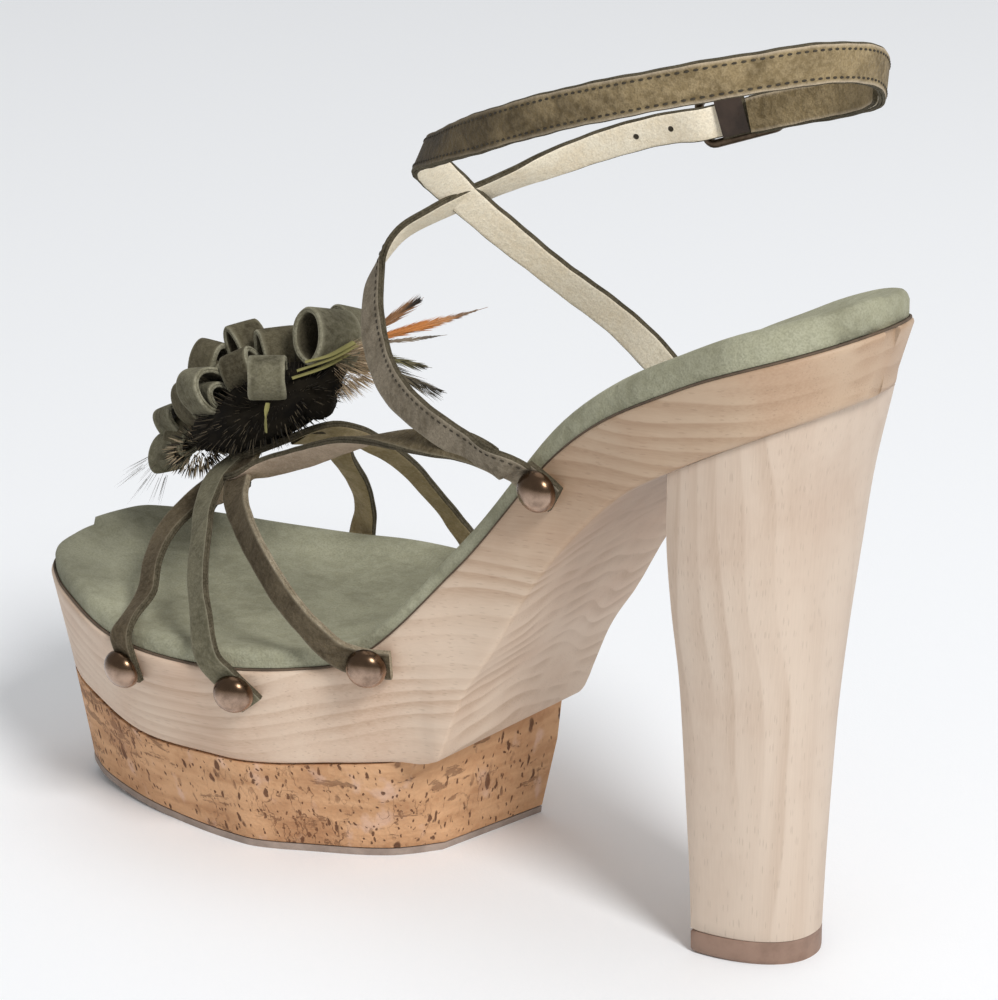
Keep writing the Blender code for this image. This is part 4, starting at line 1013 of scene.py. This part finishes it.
def setPieces(name, tree, spots, material, piece, edges=(), spacing=None, values=None):
    # spots are (point, run, way, size); the result is one plain mesh
    mesh = bpy.data.meshes.new(name)
    mesh.from_pydata([tuple(s[0]) for s in spots], list(edges), [])
    for key, index in (("run", 1), ("way", 2), ("size", 3)):
        numbers = np.asarray([s[index] for s in spots], np.float32).ravel()
        mesh.attributes.new(key, "FLOAT_VECTOR", "POINT").data.foreach_set("vector", numbers)
    for key, numbers in (values or {}).items():
        mesh.attributes.new(key, "FLOAT", "POINT").data.foreach_set("value", np.asarray(numbers, np.float32))
    made = bpy.data.objects.new(name, mesh)
    bpy.context.scene.collection.objects.link(made)
    modifier = made.modifiers.new("set", "NODES")
    modifier.node_group = tree
    wanted = {"Piece": piece, "Material": material, "Spacing": spacing}
    for item in tree.interface.items_tree:
        if item.in_out == "INPUT" and wanted.get(item.name) is not None:
            modifier[item.identifier] = wanted[item.name]
    settled(made)
    return shadeSmooth(made, 50.0)


def prototype(name, points, faces):
    made = newPiece(name, points, faces, darkLeather)
    made.hide_render = made.hide_viewport = True
    return made


# ---- stitches: two rows round the ankle, one on the leg from the inner side
stitchSpec = {"spacing": 0.00178, "inset": 0.00125, "length": 0.00100, "width": 0.00046, "thick": 0.00026,
              "proud": 0.00005, "sides": 8}
threadDark = plainMaterial("stitchThread", (0.045, 0.034, 0.018), (0.025, 0.018, 0.010), 0.8)


def stitchPrototype():
    rings = []
    for t, r in ((-1.0, 0.25), (-0.8, 0.7), (-0.3, 1.0), (0.3, 1.0), (0.8, 0.7), (1.0, 0.25)):
        rings.append([(t * 0.5, 0.5 * r * math.cos(a), 0.5 * r * math.sin(a)) for a in turnsOf(stitchSpec["sides"])])
    return prototype("stitch", np.array(rings).reshape(-1, 3), loftFaces(6, stitchSpec["sides"]))


stitchPiece = stitchPrototype()
stitchSize = [stitchSpec[key] for key in ("length", "width", "thick")]
for name, first, last, signs in (("ankleLateral", 0.02, 0.985, (-1, 1)), ("ankleMedial", 0.06, 0.62, (1,))):
    where, frames = framesOf[name]
    kept = frames[int(first * len(frames)):int(last * len(frames))]
    aside, proud = strapTable[name]["width"] / 2 - stitchSpec["inset"], strapSpec["thickness"] / 2 + stitchSpec["proud"]
    spots, edges = [], []
    for sign in signs:
        edges += [(len(spots) + i, len(spots) + i + 1) for i in range(len(kept) - 1)]
        spots += [(point + side * sign * aside + way * proud, run, way, stitchSize) for point, way, side, run in kept]
    placed(setPieces(name + "Stitches", pathTree, spots, threadDark, stitchPiece, edges, stitchSpec["spacing"]),
           "strap_suede")
bpy.data.objects.remove(stitchPiece)
print("stitches made")

# ---- studs: bulbous domes with a thin flange
studSpec = {"radius": 0.0044, "rise": 0.0040, "flange": 0.0006, "gap": 0.0003, "around": 40, "rings": 12}
studAnchors = [table[key] for table in strapTable.values() for key in ("fromWall", "toWall") if key in table]
studAnchors.sort(key=lambda anchor: (anchor[0] == "lateral", anchor[1]))


def lathed(profile, around):
    points = [(r * math.cos(a), r * math.sin(a), z) for r, z in profile for a in turnsOf(around)]
    return points, loftFaces(len(profile), around)


def studProfile():
    r, top, low = studSpec["radius"], studSpec["rise"], studSpec["flange"]
    rows = [(0.80 * r, 0.0), (0.93 * r, 0.0001), (0.97 * r, 0.00035)]
    for k in range(studSpec["rings"]):
        a = math.pi / 2 * k / studSpec["rings"]
        rows.append((r * math.cos(a) ** 0.9, low + (top - low) * math.sin(a) ** 0.95))
    return rows + [(0.03 * r, top)]


domePiece = prototype("dome", *lathed(studProfile(), studSpec["around"]))
spots = []
allFrames = [f for where, frames in framesOf.values() for f in frames]
for anchor in studAnchors:
    at, facing = wallPoint(*anchor[:3])
    middle = at + facing * (anchor[4] + strapSpec["thickness"] / 2)
    point, way, side, run = min(allFrames, key=lambda f: np.linalg.norm(f[0] - middle))
    spots.append((point + way * (strapSpec["thickness"] / 2 + studSpec["gap"]), run, way, (1.0, 1.0, 1.0)))
placed(setPieces("studs", pointTree, spots, brass, domePiece), "stud_brass", *[f"stud_{k}" for k in range(1, 9)])
bpy.data.objects.remove(domePiece)
print("studs made")

# ---- buckle, its prong and chape, the turned strap end and the punched holes
buckleSpec = {
    "centre": (0.7235, 0.4200, 1.196), "run": (0.935, -0.020, 0.33), "out": (0.02, 1.0, 0.0),
    "length": 0.0215, "width": 0.0112, "bar": 0.0018, "depth": 0.0016, "corner": 0.0022,
    "chapeWidth": 0.0086, "chapeThick": 0.0012, "prong": 0.00072, "prongTip": 0.00048,
}
buckleAt = place(*buckleSpec["centre"])
buckleRun = unit(buckleSpec["run"])
buckleWay = unit(buckleSpec["out"] - buckleRun * np.dot(buckleSpec["out"], buckleRun))
buckleSide = np.cross(buckleRun, buckleWay)


def buckleSpot(along, across, out):
    inPlane = buckleRun * along * buckleSpec["length"] + buckleSide * across * buckleSpec["width"]
    return buckleAt + inPlane + buckleWay * out


def eased(part):
    return math.copysign(abs(part) ** 0.7, part)


def makeBuckleFrame():
    # Rounded rectangle of round-edged bar
    rings, corner, bar, depth = [], buckleSpec["corner"], buckleSpec["bar"] / 2, buckleSpec["depth"] / 2
    halfX, halfY = buckleSpec["length"] / 2 - bar, buckleSpec["width"] / 2 - bar
    for cx, cy, start in ((1, 1, 0), (-1, 1, 90), (-1, -1, 180), (1, -1, 270)):
        for k in range(7):
            a = math.radians(start + 15 * k)
            x, y = cx * (halfX - corner) + corner * math.cos(a), cy * (halfY - corner) + corner * math.sin(a)
            out = buckleRun * math.cos(a) + buckleSide * math.sin(a)
            centre = buckleAt + buckleRun * x + buckleSide * y
            rings.append([centre + out * bar * eased(math.cos(b)) + buckleWay * depth * eased(math.sin(b))
                          for b in turnsOf(12)])
    return closedLoft("buckleFrame", rings, bronze, 60.0)


def smoothPath(points, count):
    return smoothAt(np.arange(len(points)), np.array(points), np.linspace(0, len(points) - 1, count))


def makeTube(name, path, radii, material, around=10, wide=1.0, way=(0.3, 0.2, 0.93)):
    path = np.asarray(path, float)
    rings = []
    for i, at in enumerate(path):
        run = runAt(path, i)
        side = unit(np.cross(run, way))
        rings.append(ringAround(at, side * wide, np.cross(side, run), radii[i], around))
    return loftPiece(name, rings, material, sharp=70.0)


placed(makeBuckleFrame(), "buckle_bronze", "buckle_frame")
# (along the buckle, out from the strap)
prongRows = ((0.38, 0.0013), (0.36, 0.0036), (0.30, 0.0044), (0.20, 0.0045), (-0.05, 0.0034), (-0.30, 0.0022),
             (-0.47, 0.0020), (-0.53, 0.0019))
prongPath = smoothPath([buckleSpot(a, 0.0, out) for a, out in prongRows], 36)
prongRadii = np.linspace(buckleSpec["prong"], buckleSpec["prongTip"], 36)
placed(makeTube("buckleProng", prongPath, prongRadii, bronze, way=buckleWay), "buckle_bronze", "buckle_prong")
# chape of dark leather under the frame; its dark colour also stands for the shade inside the frame: painted shade
chapeRows = [(buckleSpot(a, 0.0, out), buckleWay) for a, out in ((-0.18, -0.0020), (-0.02, -0.0018), (0.14, -0.0019))]
where, frames = strapFrames(chapeRows, 0.001)
chape = sweepStrap("buckleChape", where, frames, buckleSpec["chapeWidth"], buckleSpec["chapeThick"],
                   (darkLeather, darkLeather))
placed(chape, "chape_leather", "buckle_chape")

turnedSpec = {"length": 0.043, "width": 0.0076, "thickness": 0.0010, "slip": -0.00135}
where, frames = framesOf["ankleLateral"]
tail = [k for k, at in enumerate(where) if at > where[-1] - turnedSpec["length"]]
turned = sweepStrap("strapTurnedEnd", where[tail], [frames[k] for k in tail], turnedSpec["width"],
                    turnedSpec["thickness"], (ankleSuede, ankleSuede), turnedSpec["slip"])
placed(turned, "strap_suede")

# each hole is a dark plug set through the strap's middle: painted shade for the hole's depth
holeSpec = {"radius": 0.00062, "depth": 0.00172, "shares": (0.617, 0.656)}
where, frames = framesOf["ankleMedial"]
holePiece = prototype("hole", *lathed(((1.0, -0.5), (1.0, 0.4), (0.85, 0.5), (0.05, 0.5)), 20))
spots = []
for share in holeSpec["shares"]:
    target = place(share, 0.0, 0.0)[0]
    point, way, side, run = min(frames[len(frames) // 2:], key=lambda f: abs(f[0][0] - target))
    spots.append((point, run, way, (holeSpec["radius"], holeSpec["radius"], holeSpec["depth"])))
placed(setPieces("punchedHoles", pointTree, spots, threadDark, holePiece), "strap_suede")
bpy.data.objects.remove(holePiece)
print("buckle made")

# ---- rosette: folded suede loops round a dark bound core
rosetteSpec = {
    "centre": (0.2553, -0.025, 0.674), "run": (0.88, 0.02, 0.47), "half": (0.0215, 0.0105, 0.0070), "tieReach": 0.019,
    "bead": (0.3235, -0.025, 0.703), "beadHalf": (0.0046, 0.0038, 0.0040), "thickness": 0.0014, "steps": 44,
}
# at is the middle of the loop's outer round; inner is the size of a second turn inside the loop; dark loops, in the
# rosette's gaps and shadow, take a darker copy of the rosette suede: painted shade
loopColumns = ("at", "axis", "reach", "rise", "width", "inner", "dark")
loopTable = (
    ((0.1964, -0.110, 0.702), (0.92, -0.30, 0.26), 0.0118, 0.0096, 0.0088, 0.62, False),
    ((0.2987, -0.149, 0.754), (0.79, 0.61, 0.0), 0.0120, 0.0094, 0.0080, 0.0, False),
    ((0.2036, 0.044, 0.767), (-0.30, -0.95, -0.08), 0.0120, 0.0070, 0.0078, 0.0, True),
    ((0.1704, 0.004, 0.730), (0.99, -0.13, 0.02), 0.0125, 0.0076, 0.0078, 0.66, True),
    ((0.2522, 0.032, 0.774), (-0.45, -0.89, 0.01), 0.0120, 0.0064, 0.0092, 0.0, True),
    ((0.3190, 0.036, 0.806), (-0.21, -0.94, 0.26), 0.0130, 0.0102, 0.0114, 0.0, False),
    ((0.1238, -0.038, 0.620), (0.87, -0.28, 0.41), 0.0125, 0.0064, 0.0076, 0.0, False),
    ((0.1291, -0.071, 0.558), (0.95, -0.03, 0.33), 0.0110, 0.0066, 0.0074, 0.0, False),
    ((0.1638, -0.063, 0.671), (0.90, -0.34, 0.27), 0.0120, 0.0078, 0.0080, 0.0, True),
    ((0.3125, 0.147, 0.802), (-0.03, -0.94, 0.34), 0.0120, 0.0080, 0.0086, 0.0, False),
    ((0.2322, -0.058, 0.740), (0.87, 0.19, 0.45), 0.0110, 0.0072, 0.0076, 0.6, True),
    ((0.1412, -0.050, 0.589), (0.96, -0.27, -0.05), 0.0100, 0.0062, 0.0070, 0.0, True),
    ((0.1406, 0.090, 0.640), (0.55, 0.75, 0.30), 0.0120, 0.0080, 0.0078, 0.0, False),
    ((0.2233, 0.150, 0.715), (0.92, 0.10, 0.35), 0.0130, 0.0088, 0.0084, 0.6, False),
    ((0.2956, 0.150, 0.748), (0.60, -0.45, 0.60), 0.0120, 0.0080, 0.0078, 0.0, False),
)
coreAt = place(*rosetteSpec["centre"])
coreRun = unit(rosetteSpec["run"])
coreSide = unit(np.cross((0.0, 0.0, 1.0), coreRun))
coreWay = np.cross(coreRun, coreSide)
coreHalf = rosetteSpec["half"]
darkTuft = plainMaterial("rosetteCore", (0.013, 0.010, 0.006), (0.004, 0.003, 0.002), 0.95, Specular_IOR_Level=0.15)
# darker copy of the rosette suede for loops in the gaps and shadow: painted shade
rosetteDark = suedeMaterial("rosetteDark", (0.105, 0.090, 0.054), (0.050, 0.041, 0.023), (0.17, 0.150, 0.10),
                            patch=120.0, edge=(0.24, 0.22, 0.15))
# very dark inner faces of the loops: painted shade inside each loop
loopInside = suedeMaterial("loopInside", (0.060, 0.050, 0.030), (0.034, 0.028, 0.016), (0.10, 0.085, 0.055),
                           patch=260.0, sheen=0.25, edge=(0.20, 0.18, 0.12))


def ballPiece(name, centre, axes, halves, material, lumps=0.0, around=40, up=22):
    # An oval ball, its surface lumpy
    points = []
    for r, z in [(math.cos(a), math.sin(a)) for a in np.linspace(-1.5, 1.5, up)]:
        for a in turnsOf(around):
            way = (r * math.cos(a), r * math.sin(a), z)
            grow = 1.0 + lumps * (math.sin(9 * a + 5 * z) * math.sin(7 * z + 2 * a) + 0.5 * math.sin(21 * a - 13 * z))
            points.append(centre + sum(axis * half * part * grow for axis, half, part in zip(axes, halves, way)))
    return newPiece(name, points, loftFaces(up, around), material, sharp=80.0)


coreAxes = (coreRun, coreSide, coreWay)
placed(ballPiece("rosetteCore", coreAt, coreAxes, coreHalf, darkTuft, 0.08), "rosette_suede", "rosette")
bead = ballPiece("rosetteBead", place(*rosetteSpec["bead"]), coreAxes, rosetteSpec["beadHalf"], darkTuft, 0.05, 28, 16)
placed(bead, "rosette_suede")


def loopFrames(row, size):
    centre, axis = place(*row["at"]), unit(row["axis"])
    tied = rosetteSpec["tieReach"]
    nearest = coreAt + coreRun * np.clip(np.dot(centre - coreAt, coreRun), -tied, tied)
    toward = nearest - centre
    toward = toward - axis * np.dot(toward, axis)
    reach = max(row["reach"], row["rise"] / 2 + np.linalg.norm(toward) - 0.4 * coreHalf[2])
    toward = unit(toward)
    up = np.cross(axis, toward)
    middle = centre + toward * (reach - row["rise"]) / 2
    deep = rosetteSpec["thickness"] / 2
    long, tall = (reach / 2 - deep) * size, (row["rise"] / 2 - deep) * size
    frames = []
    for a in turnsOf(rosetteSpec["steps"]) + [2 * math.pi]:
        pinch = 1.0 - 0.25 * max(0.0, math.cos(a)) ** 2
        point = middle + toward * (long * math.cos(a) + (1 - size) * reach * 0.42) + up * tall * math.sin(a) * pinch
        way = unit(toward * math.cos(a) * tall + up * math.sin(a) * long)
        frames.append((point, way, axis, np.cross(way, axis)))
    return np.linspace(0.0, math.pi * (reach + row["rise"]) / 2, rosetteSpec["steps"] + 1), frames


for number, values in enumerate(loopTable):
    row = dict(zip(loopColumns, values))
    # painted shade: dark loops take the darker copy, and every loop's inner face is painted dark
    cloth = (rosetteDark if row["dark"] else rosetteSuede, loopInside, loopEdge)
    for ending, size, width in (("", 1.0, row["width"]), ("Inner", row["inner"], 0.9 * row["width"])):
        if size:
            where, frames = loopFrames(row, size)
            loop = sweepStrap(f"rosetteLoop{number + 1}{ending}", where, frames, width, rosetteSpec["thickness"], cloth)
            placed(loop, "rosette_suede")

# hairs, spotted fluff and feather barbs are one blade set on points
bladeRings = ((0.0, 1.0), (0.35, 0.9), (0.7, 0.6), (1.0, 0.08))
bladePoints = [(t, 0.5 * s * y, 0.5 * s * z + 0.10 * math.sin(math.pi * t))
               for t, s in bladeRings for y, z in ((-1, 0), (0, 1), (1, 0), (0, -1))]
bladePiece = prototype("blade", bladePoints, loftFaces(4, 4))


def hairSpots(count, seed, centre, spread, length, width, aim, loose):
    dice = random.Random(seed)
    spots, tones = [], []
    for _ in range(count):
        way = unit([dice.gauss(0, 1) for _ in range(3)])
        at = centre + sum(axis * half * part for axis, half, part in zip(coreAxes, spread, way))
        run = unit(sum(axis * part for axis, part in zip(coreAxes, way)) * loose + np.array(aim))
        across = unit(np.cross(run, (dice.random(), dice.random(), 0.5)))
        spots.append((at, run, across, (length * dice.uniform(0.5, 1.1), width, width * 0.7)))
        tones.append(dice.random())
    return spots, tones


hairDark = tuftMaterial("hairDark", (0.010, 0.008, 0.005), (0.075, 0.056, 0.032), (0.11, 0.085, 0.05))
fluffTan = tuftMaterial("fluffTan", (0.060, 0.042, 0.022), (0.42, 0.32, 0.19), (0.50, 0.40, 0.28), 16.0)
fluffPale = tuftMaterial("fluffPale", (0.16, 0.105, 0.055), (0.66, 0.49, 0.30), (0.72, 0.58, 0.42))
strandGreen = tuftMaterial("strandGreen", (0.24, 0.22, 0.075), (0.33, 0.30, 0.12), (0.30, 0.27, 0.11))
# (name, count, seed, centre, spread, length, width, aim, how loose, material)
hairTable = (
    ("rosetteTufts", 1100, 3, coreAt, (0.0205, 0.0098, 0.0064), 0.0034, 0.00024, (0.0, 0.0, 0.0), 1.0, hairDark),
    ("rosetteHairs", 34, 5, place(0.1220, -0.100, 0.545), (0.0040, 0.0030, 0.0030), 0.0085, 0.00008,
     (-0.45, -0.45, -0.80), 0.45, hairDark),
    ("rosetteSpots", 420, 7, place(0.1690, -0.072, 0.582), (0.0066, 0.0040, 0.0038), 0.0026, 0.00030,
     (-0.15, -0.20, -0.35), 1.0, fluffTan),
    ("rosetteFluff", 900, 9, place(0.3400, 0.035, 0.754), (0.0072, 0.0036, 0.0040), 0.0042, 0.00013,
     (0.87, 0.40, -0.25), 0.8, fluffPale),
)
for name, count, seed, centre, spread, length, width, aim, loose, material in hairTable:
    spots, tones = hairSpots(count, seed, centre, spread, length, width, aim, loose)
    placed(setPieces(name, pointTree, spots, material, bladePiece,
                     values={"tone": tones, "along": [t * 0.9 for t in tones]}), "rosette_suede")
strandTable = (
    ((0.3012, -0.157, 0.712), (0.3005, -0.165, 0.690), (0.2986, -0.160, 0.664)),
    ((0.3242, -0.105, 0.763), (0.3484, -0.044, 0.780), (0.3585, 0.036, 0.795)),
    ((0.3304, -0.091, 0.777), (0.3476, -0.042, 0.786), (0.3555, 0.033, 0.799)),
    ((0.3215, -0.118, 0.752), (0.3407, -0.054, 0.765), (0.3514, 0.029, 0.781)),
)
for number, rows in enumerate(strandTable):
    path = smoothPath([place(*row) for row in rows], 20)
    placed(makeTube(f"rosetteStrand{number + 1}", path, [0.00022] * 20, strandGreen, 8, 3.0), "rosette_suede")
print("rosette made")

# ---- feathers: a quill with barbs down both sides
featherRoot = place(0.3279, 0.127, 0.776)
featherColumns = ("tip", "width", "bow", "tone", "end", "stripes")
featherTable = (
    ((0.4059, 0.443, 0.815), 0.0018, 0.0016, (0.50, 0.20, 0.065), (0.30, 0.20, 0.13), 0.0),
    ((0.3686, 0.288, 0.842), 0.0028, 0.0010, (0.34, 0.17, 0.075), (0.020, 0.016, 0.012), 0.0),
    ((0.3833, 0.338, 0.777), 0.0011, 0.0008, (0.34, 0.27, 0.20), (0.13, 0.11, 0.09), 0.0),
    ((0.3859, 0.326, 0.682), 0.0040, 0.0022, (0.17, 0.14, 0.09), (0.07, 0.060, 0.045), 40.0),
    ((0.3891, 0.385, 0.804), 0.0024, -0.0006, (0.64, 0.25, 0.07), (0.52, 0.29, 0.15), 0.0),
    ((0.3721, 0.344, 0.795), 0.0026, -0.0010, (0.60, 0.22, 0.06), (0.50, 0.26, 0.12), 0.0),
    ((0.3744, 0.300, 0.725), 0.0024, 0.0014, (0.20, 0.18, 0.08), (0.12, 0.10, 0.06), 30.0),
)
featherSpec = {"barbs": 72, "lean": 11.0, "barbWide": 0.00020, "barbThick": 0.00012, "quill": 0.00024, "seed": 21,
               "binding": (0.0032, 0.0017, 0.0017)}


def makeFeather(number, row):
    tip = place(*row["tip"])
    run = unit(tip - featherRoot)
    flat = unit(np.cross(run, (0.9, 0.0, 0.45)))
    normal = np.cross(run, flat)
    dice = random.Random(featherSpec["seed"] + number)
    path = [featherRoot + (tip - featherRoot) * t + normal * row["bow"] * 4 * t * (1 - t)
            for t in np.linspace(0, 1, 24)]
    material = tuftMaterial(f"feather{number + 1}", shade(row["tone"], 0.7), row["tone"], row["end"], row["stripes"])
    quill = makeTube(f"featherQuill{number + 1}", path, featherSpec["quill"] * np.linspace(1.0, 0.2, 24), material, 8)
    lean = math.radians(featherSpec["lean"])
    spots, tones, along = [], [], []
    for k in range(featherSpec["barbs"]):
        t = 0.06 + 0.92 * k / (featherSpec["barbs"] - 1)
        share = float(np.interp(t, (0.0, 0.2, 0.5, 0.75, 1.0), (0.35, 0.75, 1.0, 0.72, 0.10)))
        at = featherRoot + (tip - featherRoot) * t * 0.93 + normal * row["bow"] * 4 * t * (1 - t)
        for sign in (-1, 1):
            turn = lean * dice.uniform(0.5, 1.25)
            aim = unit(run * math.cos(turn) + flat * sign * math.sin(turn) + normal * dice.uniform(-0.06, 0.06))
            long = 0.5 * row["width"] * share / math.sin(lean) * dice.uniform(0.75, 1.05)
            spots.append((at, aim, unit(np.cross(aim, flat) * sign + normal),
                          (long, featherSpec["barbWide"], featherSpec["barbThick"])))
            tones.append(dice.random())
            along.append(t)
    barbs = setPieces(f"featherBarbs{number + 1}", pointTree, spots, material, bladePiece,
                      values={"tone": tones, "along": along})
    return quill, barbs


for number, values in enumerate(featherTable):
    quill, barbs = makeFeather(number, dict(zip(featherColumns, values)))
    placed(quill, "feather_tan", *["feathers"][number:])
    placed(barbs, "feather_tan")
bpy.data.objects.remove(bladePiece)
bindingAxes = (unit(place(*featherTable[0][0]) - featherRoot), coreSide, coreWay)
placed(ballPiece("featherBinding", featherRoot, bindingAxes, featherSpec["binding"], darkTuft, 0.03, 24, 14),
       "feather_tan")
print("feathers made")

# ---- pale floor and soft studio light
studioSpec = {
    "floor": (0.93, 0.945, 0.965), "size": 6.0,
    "lights": (
        {"name": "keyLight", "at": (2.15, -0.90, 2.05), "size": 0.9, "power": 67.5},
        {"name": "topLight", "at": (-0.3, 0.8, 3.0), "size": 2.4, "power": 14.0},
    ),
    "world": 0.44,
}


def makeStudio(spec):
    side = spec["size"] / 2
    corners = [(-side, -side, 0), (side, -side, 0), (side, side, 0), (-side, side, 0)]
    floor = newPiece("floor", corners, [(0, 1, 2, 3)], plainMaterial("floorPaint", spec["floor"], spec["floor"], 0.9))
    for light in spec["lights"]:
        data = bpy.data.lights.new(light["name"], "AREA")
        data.energy, data.size, data.shape = light["power"], light["size"], "DISK"
        made = bpy.data.objects.new(light["name"], data)
        made.location = light["at"]
        made.rotation_euler = (Vector((0.07, 0.0, 0.06)) - made.location).to_track_quat("-Z", "Y").to_euler()
        bpy.context.scene.collection.objects.link(made)
    world = bpy.context.scene.world or bpy.data.worlds.new("studio")
    bpy.context.scene.world = world
    world.use_nodes = True
    sky = world.node_tree.nodes["Background"].inputs
    sky["Color"].default_value, sky["Strength"].default_value = (0.985, 0.99, 1.0, 1.0), spec["world"]


makeStudio(studioSpec)
bpy.context.scene.view_settings.view_transform = "Standard"
print("studio made")
